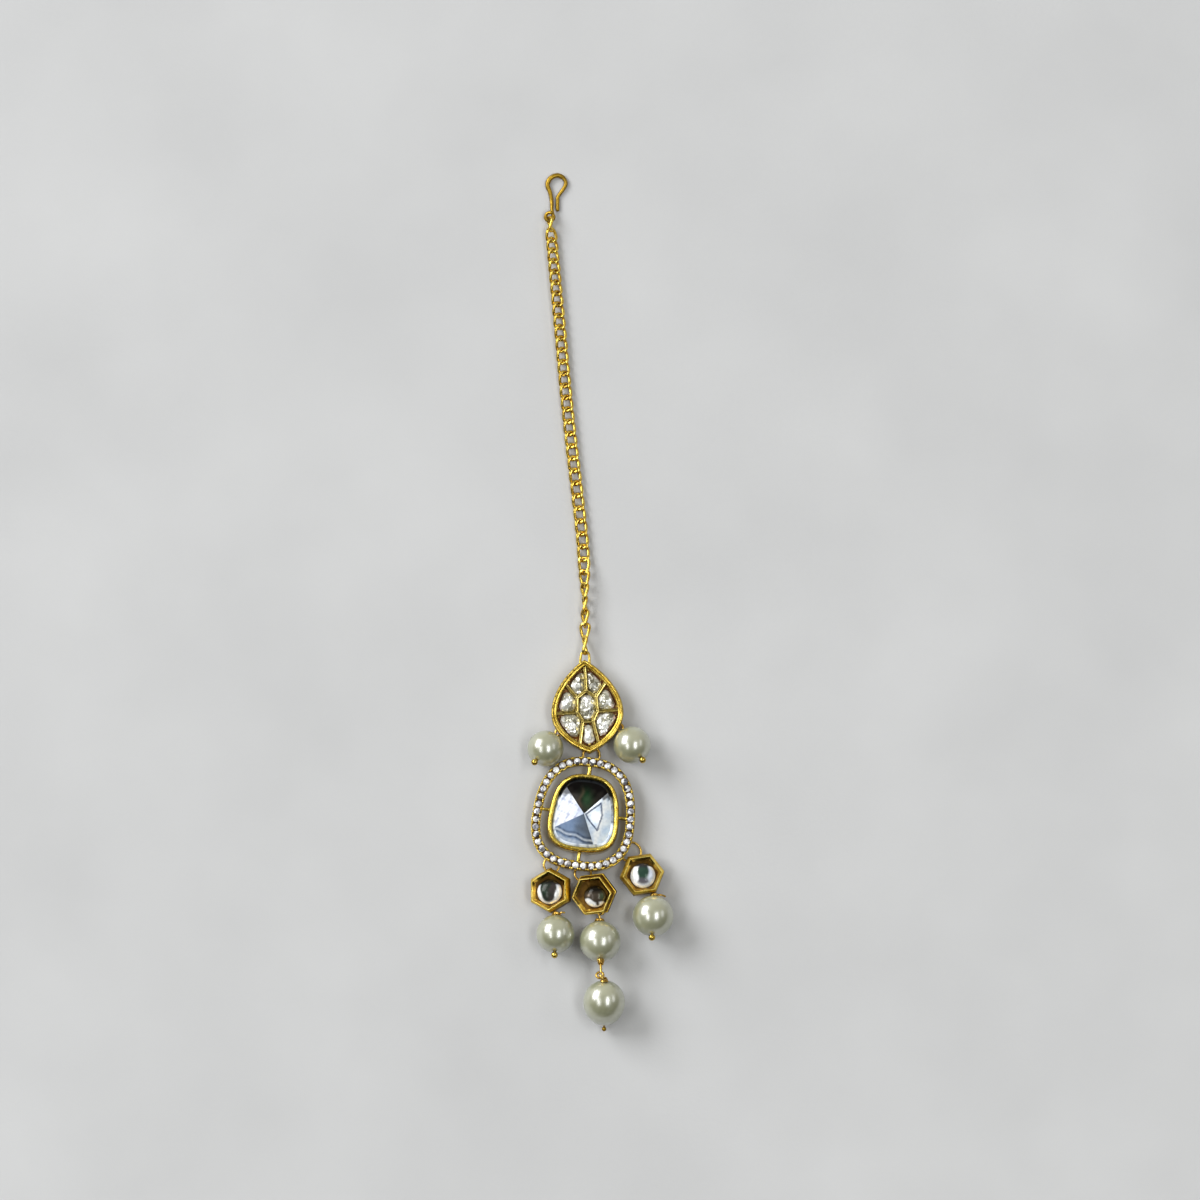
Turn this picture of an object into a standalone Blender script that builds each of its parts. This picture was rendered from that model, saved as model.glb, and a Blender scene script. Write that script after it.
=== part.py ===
"""Maang tikka: a hair hook, a fine chain and a jewelled pendant, laid out as they rest on a table.

Each stone, pearl, pin, ring and setting is a solid of its own, and soldered metal is one solid. Positions and
sizes are in millimetres, +Y towards the hook and +Z up from the table; the helpers turn them into metres.
"""

import math

import bmesh
import bpy
import numpy as np
from mathutils import Euler, Matrix, Vector

MM = 0.001
UP = Vector((0.0, 0.0, 1.0))

# Hook and chain
HOOK_WIRE = 0.32
HOOK_EYE = Vector((-9.22, 70.07, HOOK_WIRE))
HOOK_EYE_RADIUS = 0.75
HOOK_BEND = (
    (-8.8, 71.5), (-8.84, 72.9), (-9.14, 74.6), (-9.61, 76.0), (-9.09, 77.2), (-7.83, 77.74),
    (-6.75, 77.27), (-6.32, 76.3), (-6.66, 75.4), (-7.7, 73.9), (-7.77, 73.2), (-7.78, 71.12),
)
HOOK_POINT_SPACING = 0.6
CHAIN_RADIUS = 1.1
CHAIN_ROUTE = (
    (-9.42, 68.65), (-8.57, 62.84), (-7.29, 49.11), (-6.35, 38.66), (-5.18, 27.76),
    (-4.1, 18.67), (-3.15, 9.4), (-2.85, 0.0), (-2.82, -8.5),
)
CHAIN_POINT_SPACING = 2.2 * CHAIN_RADIUS * 2

# Soldered eyes and the wire rings through them
EYELET_WIRE = 0.2
EYELET_RADIUS = 0.7
EYELET_DROP = 0.5  # from a plate's underside down to the eyelet's centre
RING_WIRE = 0.22
PIN_WIRE = 0.22
PIN_EYE_RADIUS = 0.63
PIN_BALL = 0.6
PIN_BALL_STANDOFF = 0.65  # from a pearl's surface to the centre of the ball
KNEE = 0.35  # from the bend in a pin's wire, in plan, to the pearl it enters
BORE = 0.55

# Leaf
LEAF_CENTRE = Vector((-2.47, -19.55, 0.0))
LEAF_TURN = math.radians(3.4)
LEAF_HALF_WIDTH = 6.5
LEAF_TOP = 8.7
LEAF_BOTTOM = -8.3
LEAF_WIDEST = -0.97
LEAF_UPPER_HANDLES = ((LEAF_HALF_WIDTH, 4.03), (1.21, 8.2))
LEAF_LOWER_HANDLES = ((3.81, -6.73), (LEAF_HALF_WIDTH, -3.86))
LEAF_UNDERSIDE = 1.4
LEAF_FLOOR = 2.3
LEAF_RIM_TOP = 3.6
LEAF_RIM = 1.0
# Height and inset of the leaf's wall, up its outside and then down inside
LEAF_LEVELS = (
    (LEAF_UNDERSIDE, 0.15),
    (LEAF_UNDERSIDE + 0.25, 0.0),
    (LEAF_RIM_TOP - 0.35, 0.0),
    (LEAF_RIM_TOP, 0.3),
    (LEAF_RIM_TOP, LEAF_RIM - 0.05),
    (LEAF_FLOOR, LEAF_RIM),
)
CELL_WALL = 0.4
CELL_WALL_TOP = 3.45
CELL_CORNERS = ((0.0, 3.1), (1.7, 1.85), (1.85, -0.7), (0.92, -2.45))
CELL_WALL_ENDS = ((0.0, 7.9), (3.75, 4.6), (5.6, -0.75), (1.6, -6.4))
STONE_CLEARANCE = 0.92  # share of its cell's width that a stone takes
# Centre, width, length, lean and taper; a stone off the middle line has a mirror twin
LEAF_STONES = (
    ((0.0, 0.15), 2.5, 4.4, 0.0, 0.0),
    ((1.4, 4.6), 2.1, 3.8, 10.0, 0.0),
    ((3.65, 1.15), 2.7, 2.85, 0.0, 0.0),
    ((3.1, -2.85), 2.9, 3.9, -20.0, 0.2),
    ((0.0, -5.0), 1.45, 3.6, 0.0, 0.0),
)
STONE_SEAT = 0.3  # from the cell's floor up to a stone
# Height of a leaf stone's base, girdle and table, and the share of its outline that each takes
STONE_LEVELS = ((0.0, 0.75), (0.35, 1.0), (0.9, 0.65))
LEAF_LOOP = Vector((-2.9, -10.1, 1.9))
LEAF_LOOP_RADIUS = 0.78
LEAF_LOOP_WIRE = 0.24
LEAF_TAB = ((-2.92, -10.7), (-3.02, -11.8))
LEAF_TAB_WIDTH = 1.1

# Centre frame
FRAME_CENTRE = Vector((-3.0, -38.73, 0.0))
FRAME_TURN = math.radians(-7.0)
HALO_OUTER = (9.2, 10.3, 2.5, 0.08)
HALO_INNER = (7.55, 8.6, 2.6, 0.08)
HALO_UNDERSIDE = 1.4
HALO_TOP = 3.0
CUP_OUTLINE = (6.3, 7.08, 2.8, 0.11)
CUP_RIM = 0.8
CUP_TOP = 4.1
CUP_FLOOR = 1.0
CUP_LEVELS = (
    (0.0, 0.3),
    (0.4, 0.0),
    (CUP_TOP - 0.9, 0.0),
    (CUP_TOP, 0.3),
    (CUP_TOP, 0.5),
    (CUP_TOP - 0.6, CUP_RIM),
    (CUP_FLOOR, CUP_RIM),
)
SPOKE_WIDTH = 0.6
SPOKE_UNDERSIDE = 2.2
SPOKE_TOP = 2.8
SPOKE_X = (5.8, 8.0)
SPOKE_Y = (6.6, 9.0)
STONE_INSET = 1.05
STONE_BASE_INSET = 0.6
STONE_GIRDLE_Z = 3.3
STONE_APEX = (0.0, -0.3, 5.0)
STONE_RIDGE_ENDS = ((-3.3, 3.75), (3.6, 3.85), (2.75, -4.9), (-3.9, -3.7))
STONE_RIDGE_Z = 3.95

# Hexagonal cups
HEX_ACROSS_FLATS = 7.1
HEX_MOUTH = 5.6
HEX_HEIGHT = 2.6
HEX_WALL_TOP = 1.3
HEX_FLOOR = 1.2
HEX_LIP = 0.15
DOME_HEIGHT = 1.5
DOME_BASE = 1.5
DOME_EDGE = 0.2

# The middle pin's lower eye and the drop's pin end, along the drop from its centre
DROP_EYE = -4.95
DROP_PIN_END = 5.3
DROP_LEAN = -0.45  # how far its eye lies to the side of its axis

GOLD = ((0.78, 0.55, 0.16), 1.0, 0.25)
DULL_GOLD = ((0.48, 0.34, 0.14), 1.0, 0.4)
CLEAR_STONE = ((0.9, 0.92, 0.94), 0.3, 0.05)
FOILED_STONE = ((0.45, 0.55, 0.5), 0.6, 0.05)
PEARL = ((0.78, 0.78, 0.66), 0.0, 0.15)


def start_scene():
    """An empty scene with a collection for the parts and one for what is soldered into them."""
    for obj in list(bpy.data.objects):
        bpy.data.objects.remove(obj, do_unlink=True)
    scene = bpy.context.scene
    for name in ("maang_tikka", "soldered_on"):
        collection = bpy.data.collections.new(name)
        scene.collection.children.link(collection)
    return bpy.data.collections["maang_tikka"], bpy.data.collections["soldered_on"]


PARTS, SOLDERED = start_scene()
TABLE = bpy.data.objects.new("laid_on_table", None)
PARTS.objects.link(TABLE)


def finish(name, look):
    """A Principled material with this colour, metallic value and roughness."""
    colour, metallic, roughness = look
    material = bpy.data.materials.new(name)
    material.use_nodes = True
    shader = material.node_tree.nodes["Principled BSDF"]
    shader.inputs["Base Color"].default_value = (*colour, 1.0)
    shader.inputs["Metallic"].default_value = metallic
    shader.inputs["Roughness"].default_value = roughness
    return material


def add_part(name, data, look):
    """Put a mesh or curve in the scene as a part, under the empty that lays the jewel on the table."""
    obj = bpy.data.objects.new(name, data)
    PARTS.objects.link(obj)
    obj.parent = TABLE
    data.materials.append(finish(name, look))
    return obj


def add_soldered(name, mesh):
    """Put a mesh in the scene as a piece that is only there to be soldered into a part."""
    obj = bpy.data.objects.new(name, mesh)
    SOLDERED.objects.link(obj)
    obj.parent = TABLE
    obj.hide_render = True
    obj.display_type = "WIRE"
    return obj


def solder(body, pieces):
    """Join the pieces to the body as one solid."""
    for piece in pieces:
        join = body.modifiers.new(piece.name, "BOOLEAN")
        join.operation = "UNION"
        join.object = piece


# Outlines, all running anticlockwise


def superellipse(half_width, half_length, power, taper, count):
    """A cushion outline, narrower at its top by the taper."""
    points = []
    for i in range(count):
        angle = 2 * math.pi * i / count
        across = math.copysign(abs(math.cos(angle)) ** (2 / power), math.cos(angle))
        along = math.copysign(abs(math.sin(angle)) ** (2 / power), math.sin(angle))
        points.append((half_width * across * (1 - taper * along), half_length * along))
    return points


def bezier(ends, count):
    """Points of a cubic Bezier curve, without its last end."""
    a, b, c, d = (np.array(point) for point in ends)
    steps = np.linspace(0.0, 1.0, count, endpoint=False)
    return [
        tuple((1 - t) ** 3 * a + 3 * (1 - t) ** 2 * t * b + 3 * (1 - t) * t**2 * c + t**3 * d)
        for t in steps
    ]


def leaf_outline(count=9):
    """The pointed oval: four curves between its two tips and its widest places."""
    widest = (LEAF_HALF_WIDTH, LEAF_WIDEST)
    top, bottom = (0.0, LEAF_TOP), (0.0, LEAF_BOTTOM)
    upper = bezier((widest, *LEAF_UPPER_HANDLES, top), count)
    lower = bezier((bottom, *LEAF_LOWER_HANDLES, widest), count)
    right = lower + upper + [top]
    left = [(-x, y) for x, y in reversed(right[1:-1])]
    return right + left


def hexagon(across_flats):
    """A hexagon with a flat side at the top."""
    corner = across_flats / math.sqrt(3)
    return [
        (corner * math.cos(math.radians(60 * i)), corner * math.sin(math.radians(60 * i)))
        for i in range(6)
    ]


def oval(width, length, taper, count=14):
    """A stone's outline, narrower towards its bottom by the taper."""
    points = []
    for i in range(count):
        angle = 2 * math.pi * i / count
        along = math.sin(angle)
        across = math.cos(angle) * (1 + taper * along)
        points.append((width / 2 * across, length / 2 * along))
    return points


def scaled(outline, share):
    return [(x * share, y * share) for x, y in outline]


def inset(outline, distance):
    """The outline moved inwards by the distance, square to each side."""
    points = np.array(outline)
    sides = np.roll(points, -1, axis=0) - points
    sides /= np.linalg.norm(sides, axis=1)[:, None]
    inward = np.stack([-sides[:, 1], sides[:, 0]], axis=1)
    before = np.roll(inward, 1, axis=0)
    both = inward + before
    both /= (1 + (inward * before).sum(axis=1))[:, None]
    return points + distance * both


def at_height(outline, z):
    return [(x * MM, y * MM, z * MM) for x, y in outline]


# Solids


def loft_mesh(name, rings):
    """A closed mesh from the first ring of points to the last, with a face across each end."""
    build = bmesh.new()
    loops = [[build.verts.new(point) for point in ring] for ring in rings]
    for lower, upper in zip(loops, loops[1:]):
        for i in range(len(lower)):
            build.faces.new((lower[i - 1], lower[i], upper[i], upper[i - 1]))
    build.faces.new(loops[0][::-1])
    build.faces.new(loops[-1])
    bmesh.ops.recalc_face_normals(build, faces=build.faces)
    mesh = bpy.data.meshes.new(name)
    build.to_mesh(mesh)
    build.free()
    return mesh


def dish_mesh(name, outline, levels):
    """A dish whose wall follows the outline: levels are (height, inset) up its outside, then down inside."""
    return loft_mesh(name, [at_height(inset(outline, margin), z) for z, margin in levels])


def flat_ring(name, outer, inner, bottom, top):
    """The band between two outlines, as a mesh."""
    curve = bpy.data.curves.new(name, "CURVE")
    curve.dimensions = "2D"
    curve.fill_mode = "BOTH"
    curve.extrude = (top - bottom) / 2 * MM
    for outline in (outer, inner):
        spline = curve.splines.new("POLY")
        spline.points.add(len(outline) - 1)
        spline.use_cyclic_u = True
        for point, (x, y) in zip(spline.points, outline):
            point.co = (x * MM, y * MM, 0.0, 1.0)
    guide = bpy.data.objects.new(name, curve)
    PARTS.objects.link(guide)
    bpy.context.view_layer.update()
    evaluated = guide.evaluated_get(bpy.context.evaluated_depsgraph_get())
    mesh = bpy.data.meshes.new_from_object(evaluated)
    bpy.data.objects.remove(guide)
    bpy.data.curves.remove(curve)
    build = bmesh.new()
    build.from_mesh(mesh)
    bmesh.ops.remove_doubles(build, verts=build.verts, dist=0.001 * MM)
    bmesh.ops.recalc_face_normals(build, faces=build.faces)
    bmesh.ops.translate(build, verts=build.verts, vec=UP * (bottom + top) / 2 * MM)
    build.to_mesh(mesh)
    build.free()
    return mesh


def bar(name, start, end, width, bottom, top):
    """A straight bar between two points of the plane, as a soldered piece."""
    start, end = Vector(start), Vector(end)
    run = end - start
    build = bmesh.new()
    bmesh.ops.create_cube(build, size=1.0)
    bmesh.ops.scale(build, verts=build.verts, vec=Vector((run.length, width, top - bottom)) * MM)
    mesh = bpy.data.meshes.new(name)
    build.to_mesh(mesh)
    build.free()
    obj = add_soldered(name, mesh)
    middle = (start + end) / 2
    obj.location = Vector((middle.x, middle.y, (bottom + top) / 2)) * MM
    obj.rotation_euler.z = math.atan2(run.y, run.x)
    return obj


def torus_mesh(name, radius, wire, around, across):
    """A ring of round wire, lying flat."""
    bpy.ops.mesh.primitive_torus_add(
        major_radius=radius * MM, minor_radius=wire * MM, major_segments=around, minor_segments=across
    )
    made = bpy.context.object
    mesh = made.data
    mesh.name = name
    bpy.data.objects.remove(made)
    mesh.shade_smooth()
    return mesh


def eyelet(name, centre, pull, slope=None):
    """A soldered wire eye that stands under a plate, in the plane of the pull and its plate's normal."""
    obj = add_soldered(name, torus_mesh(name, EYELET_RADIUS, EYELET_WIRE, 14, 6))
    normal = slope or UP
    hole_axis = normal.cross(Vector((*pull, 0.0))).normalized()
    obj.location = centre * MM
    obj.rotation_euler = hole_axis.to_track_quat("Z", "Y").to_euler()
    return obj


def jump_ring(name, start, end):
    """A wire ring whose far sides pass through the two points, as level as they allow."""
    span = end - start
    across = UP.cross(span).normalized()
    obj = add_part(name, torus_mesh(name, span.length / 2, RING_WIRE, 22, 8), GOLD)
    obj.location = (start + end) / 2 * MM
    obj.rotation_euler = span.cross(across).normalized().to_track_quat("Z", "Y").to_euler()
    return obj


def wire(name, points, radii, look):
    """A round wire through the points, with a radius at each."""
    curve = bpy.data.curves.new(name, "CURVE")
    curve.dimensions = "3D"
    curve.bevel_depth = MM
    curve.bevel_resolution = 2
    curve.use_fill_caps = True
    spline = curve.splines.new("POLY")
    spline.points.add(len(points) - 1)
    for point, place, radius in zip(spline.points, points, radii):
        point.co = (*(Vector(place) * MM), 1.0)
        point.radius = radius
    return add_part(name, curve, look)


def turned(name, profile, steps, look):
    """A solid turned about Z from a closed or on-axis profile of (radius, height), outer side first."""
    mesh = bpy.data.meshes.new(name)
    closed = profile[0][0] > 0
    edges = [(i, i + 1) for i in range(len(profile) - 1)]
    if closed:
        edges.append((len(profile) - 1, 0))
    mesh.from_pydata([(r * MM, 0.0, z * MM) for r, z in profile], edges, [])
    obj = add_part(name, mesh, look)
    screw = obj.modifiers.new("turn", "SCREW")
    screw.steps = steps
    screw.render_steps = steps
    screw.use_merge_vertices = True
    screw.merge_threshold = 1e-5
    screw.use_smooth_shade = True
    return obj


def smooth_route(route, spacing):
    """Evenly spaced points on a smooth curve through the route's own points."""
    knots = np.array(route, float)
    ends = np.vstack([2 * knots[0] - knots[1], knots, 2 * knots[-1] - knots[-2]])
    dense = []
    for a, b, c, d in zip(ends, ends[1:], ends[2:], ends[3:]):
        for t in np.linspace(0.0, 1.0, 24, endpoint=False):
            square = (2 * a - 5 * b + 4 * c - d) * t**2
            cube = (3 * b - a - 3 * c + d) * t**3
            dense.append((2 * b + (c - a) * t + square + cube) / 2)
    dense = np.array([*dense, knots[-1]])
    steps = np.linalg.norm(np.diff(dense, axis=0), axis=1)
    length = np.concatenate([[0.0], np.cumsum(steps)])
    wanted = np.linspace(0.0, length[-1], round(length[-1] / spacing) + 1)
    return [
        tuple(np.interp(w, length, dense[:, axis]) for axis in range(dense.shape[1]))
        for w in wanted
    ]


# The jewel's pieces


def make_hook_and_chain():
    angles = [math.radians(a) for a in range(130, 411, 20)]
    eye = [
        HOOK_EYE + HOOK_EYE_RADIUS * Vector((math.cos(a), math.sin(a), 0.0)) for a in angles
    ]
    bend = [(x, y, HOOK_WIRE) for x, y in smooth_route(HOOK_BEND, HOOK_POINT_SPACING)]
    points = eye + bend
    wire("hair_hook", points, [HOOK_WIRE] * len(points), DULL_GOLD)
    route = [(x, y, CHAIN_RADIUS) for x, y in smooth_route(CHAIN_ROUTE, CHAIN_POINT_SPACING)]
    wire("chain", route, [CHAIN_RADIUS] * len(route), GOLD)


def on_leaf(u, v, z=0.0):
    """A point of the leaf's own plane, as a place on the table."""
    return LEAF_CENTRE + Matrix.Rotation(LEAF_TURN, 3, "Z") @ Vector((u, v, z))


def cell_walls():
    """The ring of walls round the middle cell, and the walls from it to the rim."""
    walls = []
    corners = list(CELL_CORNERS) + [(-u, v) for u, v in reversed(CELL_CORNERS[1:])]
    for i, corner in enumerate(corners):
        walls.append((corner, corners[(i + 1) % len(corners)]))
    for start, end in zip(CELL_CORNERS, CELL_WALL_ENDS):
        walls.append((start, end))
        if start[0] > 0:
            walls.append(((-start[0], start[1]), (-end[0], end[1])))
    return walls


def make_leaf(eyelets):
    """The leaf's plate, rim, cell walls and loops, and its eight stones."""
    leaf = add_part("leaf_setting", dish_mesh("leaf_setting", leaf_outline(), LEAF_LEVELS), GOLD)
    leaf.location = LEAF_CENTRE * MM
    leaf.rotation_euler.z = LEAF_TURN
    pieces = []
    for i, (start, end) in enumerate(cell_walls()):
        ends = on_leaf(*start).xy, on_leaf(*end).xy
        pieces.append(bar(f"cell_wall_{i}", *ends, CELL_WALL, LEAF_FLOOR - 0.3, CELL_WALL_TOP))
    loop = add_soldered("leaf_loop", torus_mesh("leaf_loop", LEAF_LOOP_RADIUS, LEAF_LOOP_WIRE, 18, 8))
    loop.location = LEAF_LOOP * MM
    tab = bar("leaf_loop_tab", *LEAF_TAB, LEAF_TAB_WIDTH, LEAF_UNDERSIDE + 0.2, LEAF_LOOP.z + 0.2)
    solder(leaf, pieces + [loop, tab] + eyelets)

    number = 1
    for (u, v), width, length, lean, taper in LEAF_STONES:
        for side in (1, -1) if u else (1,):
            name = f"leaf_stone_{number}"
            shape = oval(width * STONE_CLEARANCE, length * STONE_CLEARANCE, taper)
            rings = [at_height(scaled(shape, share), z) for z, share in STONE_LEVELS]
            stone = add_part(name, loft_mesh(name, rings), CLEAR_STONE)
            stone.location = on_leaf(side * u, v, LEAF_FLOOR + STONE_SEAT) * MM
            stone.rotation_euler.z = LEAF_TURN + side * math.radians(lean)
            number += 1


def make_centre(eyelets):
    """The paved halo, its spokes and the cup as one solid, and the large stone."""
    cup_outline = superellipse(*CUP_OUTLINE, 48)
    frame = add_part("centre_frame", dish_mesh("centre_frame", cup_outline, CUP_LEVELS), GOLD)
    frame.location = FRAME_CENTRE * MM
    frame.rotation_euler.z = FRAME_TURN
    outer, inner = superellipse(*HALO_OUTER, 56), superellipse(*HALO_INNER, 56)
    halo = add_soldered("halo", flat_ring("halo", outer, inner, HALO_UNDERSIDE, HALO_TOP))
    halo.location = FRAME_CENTRE * MM
    halo.rotation_euler.z = FRAME_TURN
    turn = Matrix.Rotation(FRAME_TURN, 2)
    centre = FRAME_CENTRE.xy
    spokes = []
    for sign in (1, -1):
        for (near, far), direction in ((SPOKE_X, Vector((sign, 0))), (SPOKE_Y, Vector((0, sign)))):
            start, end = centre + turn @ direction * near, centre + turn @ direction * far
            name = f"spoke_{len(spokes)}"
            spokes.append(bar(name, start, end, SPOKE_WIDTH, SPOKE_UNDERSIDE, SPOKE_TOP))
    solder(frame, spokes + [halo] + eyelets)

    girdle = inset(cup_outline, STONE_INSET)
    build = bmesh.new()
    base = inset(girdle, STONE_BASE_INSET)
    for point in at_height(base, CUP_FLOOR + STONE_SEAT) + at_height(girdle, STONE_GIRDLE_Z):
        build.verts.new(point)
    for x, y in STONE_RIDGE_ENDS:
        build.verts.new((x * MM, y * MM, STONE_RIDGE_Z * MM))
    build.verts.new(Vector(STONE_APEX) * MM)
    hull = bmesh.ops.convex_hull(build, input=build.verts)
    loose = [item for item in hull["geom_interior"] if isinstance(item, bmesh.types.BMVert)]
    bmesh.ops.delete(build, geom=loose, context="VERTS")
    bmesh.ops.recalc_face_normals(build, faces=build.faces)
    mesh = bpy.data.meshes.new("centre_stone")
    build.to_mesh(mesh)
    build.free()
    stone = add_part("centre_stone", mesh, FOILED_STONE)
    stone.location = FRAME_CENTRE * MM
    stone.rotation_euler.z = FRAME_TURN


class HexCup:
    """A hexagonal cup at a base point, turned about Z, then rolled about Y and tilted about X."""

    def __init__(self, side, base, turn, tilt, roll, top_eye, bottom_eye, dome):
        self.side = side
        self.base = Vector(base)
        self.rotation = Euler((math.radians(tilt), math.radians(roll), math.radians(turn)), "ZYX")
        self.top = self.at(*top_eye)
        self.bottom = self.at(*bottom_eye)
        self.dome = dome

    def at(self, u, v, z=-EYELET_DROP):
        """A point in the cup's own axes, as a place on the table."""
        return self.base + self.rotation.to_matrix() @ Vector((u, v, z))

    def place(self, obj):
        obj.location = self.base * MM
        obj.rotation_mode = "ZYX"
        obj.rotation_euler = self.rotation

    def make(self, ring_start, pin_end):
        """The cup with its two eyelets, and its domed stone."""
        outline = hexagon(HEX_ACROSS_FLATS)
        slope = (HEX_ACROSS_FLATS - HEX_MOUTH) / 2
        levels = (
            (0.0, 0.0),
            (HEX_WALL_TOP, 0.0),
            (HEX_HEIGHT, slope),
            (HEX_HEIGHT, slope + HEX_LIP),
            (HEX_FLOOR, slope + HEX_LIP + 0.1),
        )
        name = f"hex_setting_{self.side}"
        cup = add_part(name, dish_mesh(name, outline, levels), GOLD)
        self.place(cup)
        normal = self.rotation.to_matrix() @ UP
        solder(
            cup,
            [
                eyelet(f"{name}_top_eye", self.top, (self.top - ring_start).xy, normal),
                eyelet(f"{name}_bottom_eye", self.bottom, (pin_end - self.bottom).xy, normal),
            ],
        )
        radius = self.dome / 2
        arc = [math.radians(a) for a in range(0, 91, 15)]
        edge = DOME_BASE + DOME_EDGE
        profile = [(radius * math.sin(a), edge + (DOME_HEIGHT - DOME_EDGE) * math.cos(a)) for a in arc]
        stone = turned(
            f"hex_stone_{self.side}",
            profile + [(radius - 0.15, DOME_BASE), (0.0, DOME_BASE)],
            24,
            FOILED_STONE,
        )
        self.place(stone)


class Pearl:
    """A bored pearl that rests on the table; its bore points outwards in plan and up by the tilt."""

    def __init__(self, centre, radius, outwards, tilt, length=None):
        self.centre = Vector(centre)
        self.radius = radius
        self.half_length = length / 2 if length else radius
        plan = Vector((*outwards, 0.0)).normalized()
        self.axis = plan * math.cos(math.radians(tilt)) + UP * math.sin(math.radians(tilt))

    def along(self, distance):
        return self.centre + self.axis * distance

    @property
    def entry(self):
        return self.along(-self.half_length)

    @property
    def exit(self):
        return self.along(self.half_length)

    def make(self, name, egg=0.0):
        """The pearl; an egg shape above zero makes its outer end the narrower one."""
        first = math.asin(BORE / self.radius)
        angles = np.linspace(first, math.pi - first, 11)
        profile = [
            (self.radius * math.sin(a) * (1 - egg * math.cos(a)), self.half_length * math.cos(a))
            for a in angles
        ]
        profile[0] = (BORE, profile[0][1])
        profile[-1] = (BORE, profile[-1][1])
        obj = turned(name, profile, 20, PEARL)
        obj.location = self.centre * MM
        obj.rotation_euler = self.axis.to_track_quat("Z", "Y").to_euler()


def pin_eye(centre, heading, side):
    """The bent eye at a pin's end, from the wire's cut end round to where it straightens along the heading."""
    heading = heading.normalized()
    side = side.normalized()
    angles = [math.radians(a) for a in range(60, 311, 25)]
    loop = [
        centre + PIN_EYE_RADIUS * (math.cos(a) * heading + math.sin(a) * side) for a in angles
    ]
    neck = centre + PIN_EYE_RADIUS * (1.3 * heading - 0.25 * side)
    return loop + [neck]


def level_eye(centre, target):
    """A pin's eye that lies level and opens towards the target."""
    heading = Vector((*(target - centre).xy, 0.0))
    return pin_eye(centre, heading, UP.cross(heading))


def beside(centre, target):
    """The centre of a level pin eye whose wire passes through an eyelet's centre, on the target's side."""
    heading = Vector((*(target - centre).xy, 0.0)).normalized()
    return centre + heading * PIN_EYE_RADIUS


def under_pearl(eyelet_centre, pearl):
    """A pin's level eye in an eyelet, and the wire from it to the knee where it turns up into the pearl."""
    eye = level_eye(beside(eyelet_centre, pearl.entry), pearl.entry)
    knee = pearl.entry - Vector((*pearl.axis.xy, 0.0)).normalized() * KNEE
    return eye + [Vector((knee.x, knee.y, eyelet_centre.z + KNEE / 3))]


def ball_pin(name, eyelet_centre, pearl):
    """A pin from an eyelet through a pearl to its ball."""
    points = under_pearl(eyelet_centre, pearl) + [pearl.entry, pearl.exit]
    radii = [PIN_WIRE] * len(points)
    middle = pearl.half_length + PIN_BALL_STANDOFF
    for angle in (160, 130, 100, 70, 40, 10):
        offset = PIN_BALL * math.cos(math.radians(angle))
        points.append(pearl.along(middle + offset))
        radii.append(PIN_BALL * math.sin(math.radians(angle)))
    wire(name, points, radii, GOLD)


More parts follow.
